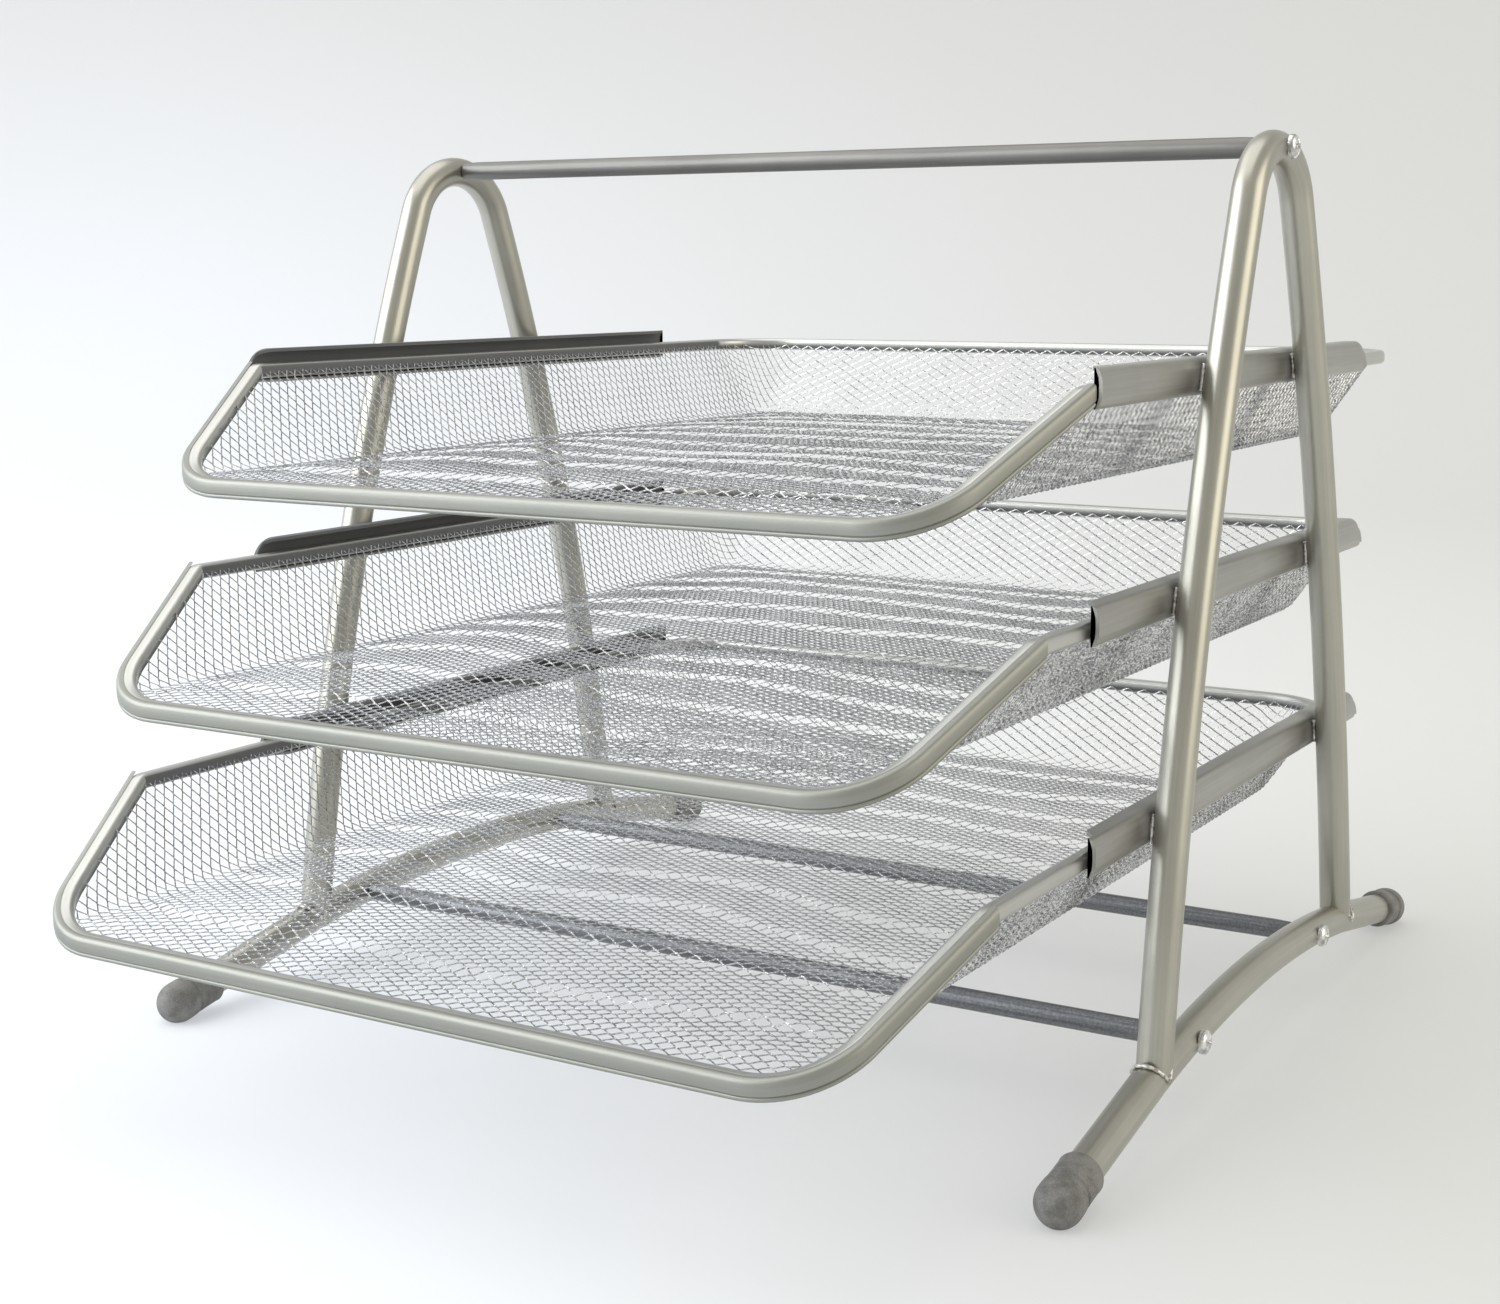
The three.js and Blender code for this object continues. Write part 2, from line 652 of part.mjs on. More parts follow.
// The flared wall round both sides and the rear, from the floor to the inner face of the rim
function wallSolid() {
  const frames = pathFrames(roundedPath(rimCorners()), true);
  const halfSheet = SHEET_THICKNESS / 2;
  const topInset = RIM_WIDTH / 2 + FIT_GAP + halfSheet;
  const bottomZ = -FLOOR_DROP - SHEET_THICKNESS;
  const rings = [];
  for (const frame of frames) {
    const onSlope = frame.point.y < 1;
    const across = frame.along.clone().cross(upZ).normalize();
    const flat = onSlope ? outX.clone().multiplyScalar(Math.sign(frame.point.x)) : across;
    const top = frame.point.clone().addScaledVector(flat, -topInset / across.dot(flat));
    const bottom = onSlope
      ? new THREE.Vector3(Math.sign(frame.point.x) * (floorX + FIT_GAP + halfSheet), frame.point.y, bottomZ)
      : frame.point.clone().addScaledVector(flat, FIT_GAP + halfSheet - WALL_FLARE).setZ(bottomZ);
    const pinched = onSlope && Math.abs(top.x) < Math.abs(bottom.x);
    if (pinched || top.z < -FLOOR_DROP + SHEET_THICKNESS) {
      continue;
    }
    rings.push([
      bottom.clone().addScaledVector(flat, -halfSheet),
      bottom.clone().addScaledVector(flat, halfSheet),
      top.clone().addScaledVector(flat, halfSheet),
      top.clone().addScaledVector(flat, -halfSheet),
    ]);
  }
  return toSolid(loft(rings, false, [[0, 1, 2], [0, 2, 3]]));
}

function wallGeometry() {
  const margin = 1.5 * STRAND_WIDTH;
  const low = -FLOOR_DROP + margin;
  const high = rimHeight - margin;
  const slope = (rimHeight - frontRimHeight) / TRAY_SLOPE_LENGTH;
  const sideEnd = rearRimY - RIM_REAR_RADIUS - margin;
  const rearHalf = rimX - RIM_REAR_RADIUS - margin;
  const underSlope = (y, z) => z < high + Math.min(0, y * slope) - margin / 2;
  const sideDiamonds = diamondPattern(
    new THREE.Vector2(frontRimY, low), new THREE.Vector2(sideEnd, high), wallCell, underSlope);
  const acrossX = diamondColumns(sideDiamonds, 2 * hoopX);
  acrossX.rotateX(Math.PI / 2);
  acrossX.rotateZ(Math.PI / 2);
  acrossX.translate(-hoopX, 0, 0);
  const rearDiamonds = diamondPattern(
    new THREE.Vector2(-rearHalf, low), new THREE.Vector2(rearHalf, high), wallCell, () => true);
  const acrossRear = diamondColumns(rearDiamonds, 3 * WALL_FLARE);
  acrossRear.rotateX(Math.PI / 2);
  acrossRear.translate(0, rearRimY + WALL_FLARE, 0);
  return fromSolid(wallSolid().subtract(toSolid(acrossX)).subtract(toSolid(acrossRear)));
}

function buildTray(label, topZ, pull) {
  const place = (geometry) => geometry.translate(0, kneeY - pull, topZ);
  addPiece(`tray_${label}_rim`, place(rimGeometry()), silverPaint);
  addPiece(`tray_${label}_front_lip`, place(lipGeometry()), silverPaint);
  addPiece(`tray_${label}_floor_mesh`, place(floorGeometry()), meshPaint);
  addPiece(`tray_${label}_wall_mesh`, place(wallGeometry()), meshPaint);
}

for (const side of [-1, 1]) {
  buildSideFrame(side);
}
for (const rod of rods) {
  buildRod(rod);
}
const tiers = [
  { label: 'top', pull: TOP_PULL },
  { label: 'middle', pull: MIDDLE_PULL },
  { label: 'bottom', pull: BOTTOM_PULL },
];
tiers.forEach((tier, level) => {
  const topZ = RAIL_TOP_HEIGHT - level * RAIL_PITCH;
  addPiece(`rail_${tier.label}_left`, railGeometry(-1, topZ), railPaint);
  addPiece(`rail_${tier.label}_right`, railGeometry(1, topZ), railPaint);
  buildTray(tier.label, topZ, tier.pull);
});

// The origin is on the floor under the middle of the stand with its trays as they are pulled out
const frontMostY = kneeY - BOTTOM_PULL + lipFrontY;
const rearMostY = kneeY - TOP_PULL + rearRimY + RIM_WIDTH / 2;
assembly.position.set(0, -(frontMostY + rearMostY) / 2, 0);

export default assembly;
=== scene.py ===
"""Dressed model of a three-tier mesh tray stand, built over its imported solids.

Two tube hoops on arched base tubes carry six channel rails. Three trays of
expanded metal, each with a bar rim and a folded front strip, slide in them.
All places are in metres, in the frame of the solids.
"""

from __future__ import annotations

import logging
import math
from dataclasses import dataclass
from enum import Enum
from typing import Callable, Iterator, Sequence, Union

import bmesh
import bpy
from mathutils import Matrix, Vector

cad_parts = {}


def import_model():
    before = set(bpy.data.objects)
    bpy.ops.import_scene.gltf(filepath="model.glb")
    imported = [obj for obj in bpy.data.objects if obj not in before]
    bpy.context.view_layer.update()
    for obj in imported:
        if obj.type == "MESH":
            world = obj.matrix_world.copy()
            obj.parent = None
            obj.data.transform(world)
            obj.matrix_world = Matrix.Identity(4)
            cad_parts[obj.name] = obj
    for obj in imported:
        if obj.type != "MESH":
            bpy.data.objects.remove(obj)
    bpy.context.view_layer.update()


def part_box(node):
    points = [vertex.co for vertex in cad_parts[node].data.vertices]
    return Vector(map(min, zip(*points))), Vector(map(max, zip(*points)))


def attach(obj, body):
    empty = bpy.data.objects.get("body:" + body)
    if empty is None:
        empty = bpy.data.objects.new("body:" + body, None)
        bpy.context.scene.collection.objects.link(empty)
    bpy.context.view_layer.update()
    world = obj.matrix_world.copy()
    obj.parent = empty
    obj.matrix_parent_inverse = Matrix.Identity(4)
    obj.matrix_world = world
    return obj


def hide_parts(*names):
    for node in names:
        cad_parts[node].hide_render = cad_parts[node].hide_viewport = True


LOG = logging.getLogger("tray_stand")
MM = 0.001
X_AXIS = Vector((1.0, 0.0, 0.0))
Y_AXIS = Vector((0.0, 1.0, 0.0))
Z_AXIS = Vector((0.0, 0.0, 1.0))

Colour = tuple[float, float, float, float]
Value = Union["Wire", float, int, bool, tuple, Vector, None]
Section = list[tuple[float, float]]
SOCKET_KINDS = {
    int: "Int",
    float: "Float",
    Vector: "Vector",
    bpy.types.Object: "Object",
    bpy.types.Material: "Material",
}


class Side(Enum):
    """Which side frame a piece belongs to."""

    LEFT = -1
    RIGHT = 1

    @property
    def label(self) -> str:
        """The side's name as the solids use it."""
        return self.name.lower()


class End(Enum):
    """Which end of a side frame a piece belongs to."""

    FRONT = -1
    REAR = 1

    @property
    def label(self) -> str:
        """The end's name as the solids use it."""
        return self.name.lower()


class Tier(Enum):
    """The three levels of the stand."""

    TOP = "top"
    MIDDLE = "middle"
    BOTTOM = "bottom"


# Node benches


def operation(kind: str, turned: bool = False) -> Callable[..., "Wire"]:
    """A method of a wire that adds one Math node.

    Args:
        kind: The node's operation.
        turned: Whether the other value comes first.

    Returns:
        The method, which takes the other value where there is one.
    """

    def method(wire: "Wire", other: Value = None) -> "Wire":
        """Adds the node."""
        first, second = (other, wire) if turned else (wire, other)
        return wire.bench.node("ShaderNodeMath", {"operation": kind}, {0: first, 1: second})

    return method


class Wire:
    """An output of a node, so that node maths reads as plain arithmetic."""

    __add__ = operation("ADD")
    __radd__ = operation("ADD", turned=True)
    __sub__ = operation("SUBTRACT")
    __rsub__ = operation("SUBTRACT", turned=True)
    __mul__ = operation("MULTIPLY")
    __rmul__ = operation("MULTIPLY", turned=True)
    __truediv__ = operation("DIVIDE")
    __abs__ = operation("ABSOLUTE")
    at_least = operation("MAXIMUM")
    at_most = operation("MINIMUM")
    above = operation("GREATER_THAN")
    back_and_forth = operation("PINGPONG")
    remainder = operation("FRACT")
    whole = operation("ROUND")
    root = operation("SQRT")
    sine = operation("SINE")
    cosine = operation("COSINE")

    def __init__(self, bench: "NodeBench", socket: bpy.types.NodeSocket) -> None:
        """Keeps the socket and the bench that its node stands on.

        Args:
            bench: The bench that adds nodes to the same tree.
            socket: The output socket.
        """
        self.bench = bench
        self.socket = socket

    def of(self, name: str) -> "Wire":
        """Another output of the same node, by its name."""
        return Wire(self.bench, self.socket.node.outputs[name])

    def __neg__(self) -> "Wire":
        """The value with its sign turned."""
        return self * -1.0

    def eased(self, low: float, high: float) -> "Wire":
        """A smooth step from 0 at low to 1 at high."""
        ends = {"Value": self, "From Min": low, "From Max": high}
        return self.bench.node("ShaderNodeMapRange", {"interpolation_type": "SMOOTHSTEP"}, ends)


class NodeBench:
    """A node tree being built, with one method that adds any node."""

    def __init__(self, tree: bpy.types.NodeTree) -> None:
        """Starts on a tree.

        Args:
            tree: The tree that gets the nodes.
        """
        self.tree = tree

    def node(
        self, kind: str, settings: dict[str, object], sockets: dict[object, object], output: object = 0
    ) -> Wire:
        """Adds a node.

        Args:
            kind: The node's type.
            settings: Its properties.
            sockets: Its inputs by name or number: a value, a wire or a list of wires.
            output: The output to hand back.

        Returns:
            The chosen output as a wire.
        """
        made = self.tree.nodes.new(kind)
        for name, setting in settings.items():
            setattr(made, name, setting)
        for key, value in sockets.items():
            for each in value if isinstance(value, list) else [value]:
                if isinstance(each, Wire):
                    self.tree.links.new(each.socket, made.inputs[key])
                elif each is not None:
                    made.inputs[key].default_value = each
        return Wire(self, made.outputs[output]) if made.outputs else None

    def parts(self, vector: Wire) -> tuple[Wire, Wire, Wire]:
        """The three parts of a vector."""
        split = self.node("ShaderNodeSeparateXYZ", {}, {0: vector})
        return split.of("X"), split.of("Y"), split.of("Z")

    def vector(self, x: Value, y: Value, z: Value) -> Wire:
        """A vector from three parts."""
        return self.node("ShaderNodeCombineXYZ", {}, {"X": x, "Y": y, "Z": z})

    def noise(self, place: Wire, scale: float, detail: float) -> Wire:
        """Soft noise from 0 to 1 at a place."""
        inputs = {"Vector": place, "Scale": scale, "Detail": detail, "Roughness": 0.55}
        return self.node("ShaderNodeTexNoise", {"noise_dimensions": "3D"}, inputs)


class ShaderBench(NodeBench):
    """A material being built around one Principled shader."""

    def __init__(self, name: str) -> None:
        """Starts a material.

        Args:
            name: The material's name.
        """
        self.material = bpy.data.materials.new(name)
        self.material.use_nodes = True
        tree = self.material.node_tree
        tree.nodes.clear()
        super().__init__(tree)

    def place(self) -> Wire:
        """The point on the piece, in metres."""
        return self.node("ShaderNodeTexCoord", {}, {}, "Object")

    def round_and_along(self) -> Wire:
        """The piece's own coordinate: metres round its section and along its path."""
        return self.node("ShaderNodeUVMap", {"uv_map": "wrap"}, {})

    def painted(self, name: str) -> Wire:
        """A value that the mesh carries at its points."""
        return self.node("ShaderNodeAttribute", {"attribute_name": name}, {}, "Fac")

    def stretched(self, place: Wire, scale: tuple[float, float, float]) -> Wire:
        """A place with its axes scaled."""
        return self.node("ShaderNodeMapping", {}, {"Vector": place, "Scale": scale})

    def blend(self, share: Value, first: Value, second: Value) -> Wire:
        """A colour between two colours."""
        return self.node("ShaderNodeMix", {"data_type": "RGBA"}, {0: share, 6: first, 7: second}, 2)

    def bump(self, height: Wire, depth: float, strength: float) -> Wire:
        """A surface relief."""
        inputs = {"Height": height, "Distance": depth, "Strength": strength}
        return self.node("ShaderNodeBump", {}, inputs)

    def finished(self, **sockets: Value) -> bpy.types.Material:
        """Adds the shader and the output.

        Args:
            sockets: The shader's inputs, with _ for a space.

        Returns:
            The material.
        """
        inputs = {name.replace("_", " "): value for name, value in sockets.items()}
        shader = self.node("ShaderNodeBsdfPrincipled", {}, inputs)
        self.node("ShaderNodeOutputMaterial", {}, {"Surface": shader})
        return self.material


class GrowthBench(NodeBench):
    """A geometry tree being built, with named inputs."""

    def __init__(self, name: str, values: dict[str, object]) -> None:
        """Starts a geometry tree.

        Args:
            name: The tree's name.
            values: A value for each named input, which gives its kind.
        """
        tree = bpy.data.node_groups.new(name, "GeometryNodeTree")
        tree.interface.new_socket(name="Geometry", in_out="INPUT", socket_type="NodeSocketGeometry")
        for label, value in values.items():
            kind = f"NodeSocket{SOCKET_KINDS[type(value)]}"
            tree.interface.new_socket(name=label, in_out="INPUT", socket_type=kind)
        tree.interface.new_socket(name="Geometry", in_out="OUTPUT", socket_type="NodeSocketGeometry")
        super().__init__(tree)
        self.given = self.node("NodeGroupInput", {}, {}, "Geometry")

    def __getitem__(self, name: str) -> Wire:
        """A named input of the tree."""
        return self.given.of(name)

    def set_out(self, points: Wire, piece: Wire, **inputs: Value) -> Wire:
        """A copy of a piece on each point."""
        sockets = {"Points": points, "Instance": piece, **inputs}
        return self.node("GeometryNodeInstanceOnPoints", {}, sockets)

    def finished(self, geometry: Wire) -> bpy.types.NodeTree:
        """Realises the instances, gives them their finish and ends the tree.

        Args:
            geometry: What the tree has made.

        Returns:
            The tree.
        """
        real = self.node("GeometryNodeRealizeInstances", {}, {"Geometry": geometry})
        dressed = self.node("GeometryNodeSetMaterial", {}, {"Geometry": real, "Material": self["Finish"]})
        self.node("NodeGroupOutput", {}, {"Geometry": dressed})
        return self.tree


# Mesh helpers


def add_object(name: str, mesh: bpy.types.Mesh) -> bpy.types.Object:
    """Puts a mesh in the scene as an object at the origin.

    Args:
        name: The object's name.
        mesh: Its mesh.

    Returns:
        The object.
    """
    piece = bpy.data.objects.new(name, mesh)
    bpy.context.scene.collection.objects.link(piece)
    return piece


def grown(
    name: str,
    seed: bpy.types.Mesh,
    tree: bpy.types.NodeTree,
    values: dict[str, object],
    smooth: bool,
) -> bpy.types.Object:
    """Grows a piece with a geometry tree and keeps the result as a plain mesh.

    Args:
        name: The piece's name.
        seed: The mesh that goes into the tree.
        tree: The tree.
        values: The tree's inputs by name.
        smooth: Whether its faces are shaded smooth.

    Returns:
        The piece, with no modifier left.
    """
    piece = add_object(name, seed)
    modifier = piece.modifiers.new("growth", "NODES")
    modifier.node_group = tree
    for item in tree.interface.items_tree:
        if item.item_type == "SOCKET" and item.in_out == "INPUT" and item.name in values:
            modifier[item.identifier] = values[item.name]
    piece.update_tag()
    depsgraph = bpy.context.evaluated_depsgraph_get()
    mesh = bpy.data.meshes.new_from_object(piece.evaluated_get(depsgraph))
    piece.modifiers.remove(modifier)
    mesh.name = name
    piece.data = mesh
    mesh.materials.clear()
    mesh.materials.append(values["Finish"])
    mesh.polygons.foreach_set("material_index", [0] * len(mesh.polygons))
    mesh.polygons.foreach_set("use_smooth", [smooth] * len(mesh.polygons))
    return piece


def bridged(near: Sequence, far: Sequence) -> Iterator[tuple]:
    """The corners of each face between two rings.

    Args:
        near: The first ring.
        far: The second ring.

    Returns:
        Each face's four corners.
    """
    for j in range(len(near)):
        k = (j + 1) % len(near)
        yield near[j], near[k], far[k], far[j]


def closed_mesh(name: str, body: bmesh.types.BMesh) -> bpy.types.Mesh:
    """Turns the faces outwards and keeps the result.

    Args:
        name: The mesh's name.
        body: The faces, which are freed.

    Returns:
        The mesh.
    """
    bmesh.ops.recalc_face_normals(body, faces=body.faces)
    mesh = bpy.data.meshes.new(name)
    body.to_mesh(mesh)
    body.free()
    return mesh


@dataclass
class Skin:
    """A swept surface: rings of points with a coordinate round and along it."""

    name: str
    rings: list[list[Vector]]
    closed: bool = False
    sharp: float = math.radians(38)
    # Gives each point its amount of painted shade, from 0 to 1.
    soot: Callable[[Vector, int], float] | None = None

    def piece(self, finish: bpy.types.Material) -> bpy.types.Object:
        """Makes the surface an object.

        Args:
            finish: Its material.

        Returns:
            The object.
        """
        body = bmesh.new()
        wrap = body.loops.layers.uv.new("wrap")
        # Each point carries its amount of painted shade for the silver paint.
        layer = body.verts.layers.float.new("soot")
        rows = [[body.verts.new(point) for point in ring] for ring in self.rings]
        if self.soot:
            for row in rows:
                for j, vert in enumerate(row):
                    vert[layer] = self.soot(vert.co, j)
        around = self._lengths(self.rings[0])
        along = self._lengths([ring[0] for ring in self.rings])
        spans = len(rows) if self.closed else len(rows) - 1
        for i in range(spans):
            for j, corners in enumerate(bridged(rows[i], rows[(i + 1) % len(rows)])):
                face = body.faces.new(corners)
                steps = ((j, i), (j + 1, i), (j + 1, i + 1), (j, i + 1))
                for loop, (u, v) in zip(face.loops, steps):
                    loop[wrap].uv = (around[u], along[v])
        if not self.closed:
            for row in (rows[0], rows[-1]):
                body.faces.new(row)
        mesh = closed_mesh(self.name, body)
        mesh.polygons.foreach_set("use_smooth", [True] * len(mesh.polygons))
        mesh.set_sharp_from_angle(angle=self.sharp)
        mesh.materials.append(finish)
        return add_object(self.name, mesh)

    @staticmethod
    def _lengths(points: Sequence[Vector]) -> list[float]:
        """Length from the first point to each point, and at last back to the first.

        Args:
            points: The points in order.

        Returns:
            The lengths, one more than there are points.
        """
        places = [0.0]
        for start, end in zip(points, [*points[1:], points[0]]):
            places.append(places[-1] + (end - start).length)
        return places


def ring_about(centre: Vector, across: Vector, up: Vector, radius: float, sides: int) -> list[Vector]:
    """Points on a circle.

    Args:
        centre: Its centre.
        across: Unit direction of the first point.
        up: Unit direction a quarter turn on.
        radius: Its radius.
        sides: How many points.

    Returns:
        The points.
    """
    angles = [2 * math.pi * i / sides for i in range(sides)]
    return [centre + across * (radius * math.cos(a)) + up * (radius * math.sin(a)) for a in angles]


def upright_rings(path: Sequence[Vector], radius: float, sides: int) -> list[list[Vector]]:
    """Rings along a path that lies in a plane across X.

    Args:
        path: The path's points.
        radius: The tube's radius.
        sides: Points in each ring.

    Returns:
        One ring for each point of the path.
    """
    rings = []
    for i, point in enumerate(path):
        ahead = path[min(i + 1, len(path) - 1)]
        behind = path[max(i - 1, 0)]
        along = (ahead - behind).normalized()
        rings.append(ring_about(point, X_AXIS, along.cross(X_AXIS).normalized(), radius, sides))
    return rings


def rounded_box(half_wide: float, half_high: float, radius: float, steps: int) -> Section:
    """Outline of a rectangle with rounded corners.

    Args:
        half_wide: Half its width.
        half_high: Half its height.
        radius: The corners' radius.
        steps: Steps in each corner.

    Returns:
        Its points, counter-clockwise from the right side.
    """
    outline = []
    for quarter, (sx, sy) in enumerate(((1, 1), (-1, 1), (-1, -1), (1, -1))):
        for step in range(steps + 1):
            angle = math.pi / 2 * (quarter + step / steps)
            out = sx * (half_wide - radius) + radius * math.cos(angle)
            up = sy * (half_high - radius) + radius * math.sin(angle)
            outline.append((out, up))
    return outline


# Finishes


@dataclass(frozen=True)
class SilverPaint:
    """Satin silver paint over steel, with fine grain and streaks, and painted shade round the rail joints,
    inside the rails and on the rims' inner faces.
    """

    name: str
    light: Colour = (0.47, 0.462, 0.405, 1.0)
    dark: Colour = (0.39, 0.382, 0.335, 1.0)
    # The dark colour of the painted shade.
    sooty: Colour = (0.155, 0.158, 0.163, 1.0)
    roughness: float = 0.33
    metallic: float = 0.92
    grain_scale: float = 1900.0
    patch_scale: float = 21.0
    streak_scale: float = 900.0
    relief: float = 0.00008
    shine: float = 0.05
    streak_stretch: tuple[float, float, float] = (1.0, 0.02, 1.0)
    soot_range: tuple[float, float] = (0.1, 0.82)

    def build(self) -> bpy.types.Material:
        """Makes the material.

        Returns:
            The material.
        """
        bench = ShaderBench(self.name)
        place = bench.place()
        grain = bench.noise(place, self.grain_scale, 3.0)
        patches = bench.noise(place, self.patch_scale, 4.0)
        lines = bench.stretched(bench.round_and_along(), self.streak_stretch)
        streaks = bench.noise(lines, self.streak_scale, 2.0)
        # Painted shade: the mesh's per-point amounts, broken up by patches, blend the paint towards the
        # dark shade colour.
        soot = (bench.painted("soot") * (0.7 + patches * 0.7)).eased(*self.soot_range)
        tone = (grain * 0.12 + patches * 0.5 + streaks * 0.38).eased(0.34, 0.66)
        paint = bench.blend(tone, self.dark, self.light)
        colour = bench.blend(soot, paint, self.sooty)
        gloss = self.roughness + (grain - 0.5) * 0.1 + (patches - 0.5) * 0.1 + soot * 0.4
        height = grain * 0.7 + streaks * 0.3
        return bench.finished(
            Base_Color=colour,
            Roughness=gloss.at_least(0.12),
            Metallic=self.metallic * (1 - soot),
            Specular_IOR_Level=self.shine,
            Normal=bench.bump(height, self.relief, 0.25),
        )


@dataclass(frozen=True)
class StrandPaint:
    """Silver paint on the strands of expanded metal, lighter and darker in fine random flecks."""

    name: str
    light: Colour = (0.72, 0.725, 0.735, 1.0)
    dark: Colour = (0.20, 0.205, 0.215, 1.0)
    roughness: float = 0.22
    metallic: float = 0.9
    grain_scale: float = 1700.0
    patch_scale: float = 90.0
    relief: float = 0.00008

    def build(self) -> bpy.types.Material:
        """Makes the material.

        Returns:
            The material.
        """
        bench = ShaderBench(self.name)
        place = bench.place()
        grain = bench.noise(place, self.grain_scale, 2.0)
        patches = bench.noise(place, self.patch_scale, 2.0)
        tone = (grain * 0.8 + patches * 0.2).eased(0.36, 0.62)
        return bench.finished(
            Base_Color=bench.blend(tone, self.dark, self.light),
            Roughness=self.roughness + (grain - 0.5) * 0.2,
            Metallic=self.metallic,
            Normal=bench.bump(grain, self.relief, 0.35),
        )


@dataclass(frozen=True)
class GraphitePaint:
    """Dark grey satin paint on the cross bars, rubbed lighter in lines."""

    name: str
    light: Colour = (0.25, 0.26, 0.275, 1.0)
    dark: Colour = (0.12, 0.125, 0.135, 1.0)
    roughness: float = 0.34
    metallic: float = 0.75
    grain_scale: float = 1300.0
    streak_scale: float = 1100.0
    streak_stretch: tuple[float, float, float] = (1.0, 0.015, 1.0)
    relief: float = 0.00012

    def build(self) -> bpy.types.Material:
        """Makes the material.

        Returns:
            The material.
        """
        bench = ShaderBench(self.name)
        grain = bench.noise(bench.place(), self.grain_scale, 3.0)
        lines = bench.stretched(bench.round_and_along(), self.streak_stretch)
        streaks = bench.noise(lines, self.streak_scale, 2.0)
        tone = (grain * 0.5 + streaks * 0.5).eased(0.35, 0.72)
        return bench.finished(
            Base_Color=bench.blend(tone, self.dark, self.light),
            Roughness=self.roughness + (grain - 0.5) * 0.2,
            Metallic=self.metallic,
            Normal=bench.bump(grain, self.relief, 0.5),
        )


@dataclass(frozen=True)
class BrightZinc:
    """Bright zinc plate on the screws, dulled in random stains."""

    name: str
    light: Colour = (0.86, 0.86, 0.85, 1.0)
    dark: Colour = (0.45, 0.45, 0.44, 1.0)
    grain_scale: float = 2400.0
    stain_scale: float = 420.0
    relief: float = 0.00006

    def build(self) -> bpy.types.Material:
        """Makes the material.

        Returns:
            The material.
        """
        bench = ShaderBench(self.name)
        grain = bench.noise(bench.place(), self.grain_scale, 3.0)
        stain = bench.noise(bench.place(), self.stain_scale, 2.0).eased(0.3, 0.6)
        return bench.finished(
            Base_Color=bench.blend(stain, self.dark, self.light),
            Roughness=0.16 + grain * 0.14,
            Metallic=1.0,
            Normal=bench.bump(grain, self.relief, 0.4),
        )


@dataclass(frozen=True)
class MouldedRubber:
    """Matt grey rubber with a fine moulded grain and scuffed patches."""

    name: str
    light: Colour = (0.235, 0.23, 0.22, 1.0)
    dark: Colour = (0.12, 0.117, 0.112, 1.0)
    pore_scale: float = 2100.0
    scuff_scale: float = 210.0
    relief: float = 0.0003

    def build(self) -> bpy.types.Material:
        """Makes the material.

        Returns:
            The material.
        """
        bench = ShaderBench(self.name)
        place = bench.place()
        pores = bench.noise(place, self.pore_scale, 4.0)
        scuffs = bench.noise(place, self.scuff_scale, 4.0)
        tone = (pores * 0.35 + scuffs * 0.65).eased(0.34, 0.66)
        return bench.finished(
            Base_Color=bench.blend(tone, self.dark, self.light),
            Roughness=0.58 + scuffs * 0.24,
            Normal=bench.bump(pores * 0.6 + scuffs * 0.4, self.relief, 0.5),
        )


@dataclass(frozen=True)
class WeldMetal:
    """Painted weld beads, coloured lighter on the ridges and darker in the hollows between them, as
    painted highlight and painted shade.
    """

    name: str
    light: Colour = (0.78, 0.77, 0.73, 1.0)
    dark: Colour = (0.2, 0.18, 0.15, 1.0)
    metallic: float = 0.85
    ripple_scale: float = 900.0
    soot_scale: float = 300.0
    relief: float = 0.0004

    def build(self) -> bpy.types.Material:
        """Makes the material.

        Returns:
            The material.
        """
        bench = ShaderBench(self.name)
        place = bench.place()
        ripples = bench.noise(place, self.ripple_scale, 3.0)
        soot = bench.noise(place, self.soot_scale, 2.0)
        # The colour follows the ripples that make the bump: painted highlight on the ridges, painted shade
        # in the hollows, with random soot.
        tone = (ripples * 0.6 + soot * 0.4).eased(0.34, 0.6)
        return bench.finished(
            Base_Color=bench.blend(tone, self.dark, self.light),
            Roughness=0.2 + soot * 0.3,
            Metallic=self.metallic,
            Normal=bench.bump(ripples, self.relief, 0.6),
        )


@dataclass(frozen=True)
class StudioPaper:
    """Pale seamless paper with painted light: it glows a little, which softens the shadows on it, and it
    is painted lighter and cooler on the left, darker and warmer on the right, and darker higher up.
    """

    name: str
    cool: Colour = (0.427, 0.441, 0.466, 1.0)
    warm: Colour = (0.342, 0.342, 0.332, 1.0)
    far: Colour = (0.316, 0.316, 0.308, 1.0)
    # The paper's own glow, which stands in for light and softens its shadows.
    glow: float = 1.0
    fibre_scale: float = 60.0
    fan_x: float = 0.36
    fan_y: float = -0.6
    rise: float = 0.9

    def build(self) -> bpy.types.Material:
        """Makes the material.

        Returns:
            The material.
        """
        bench = ShaderBench(self.name)
        x, y, z = bench.parts(bench.place())
        fibres = bench.noise(bench.place(), self.fibre_scale, 4.0)
        # Painted light: the paper is lighter and cooler towards the left and darker and warmer towards the
        # right.
        fan = (self.fan_x - x) / (y - self.fan_y).at_least(0.1)
        share = 1 - fan.eased(0.1, 1.1) + (fibres - 0.5) * 0.04
        near = bench.blend(share, self.cool, self.warm)
        # Painted shade: the paper darkens higher up.
        colour = bench.blend(z.eased(0.0, self.rise) * 0.8, near, self.far)
        return bench.finished(
            Base_Color=colour,
            Roughness=0.9,
            Emission_Color=colour,
            Emission_Strength=self.glow,
        )


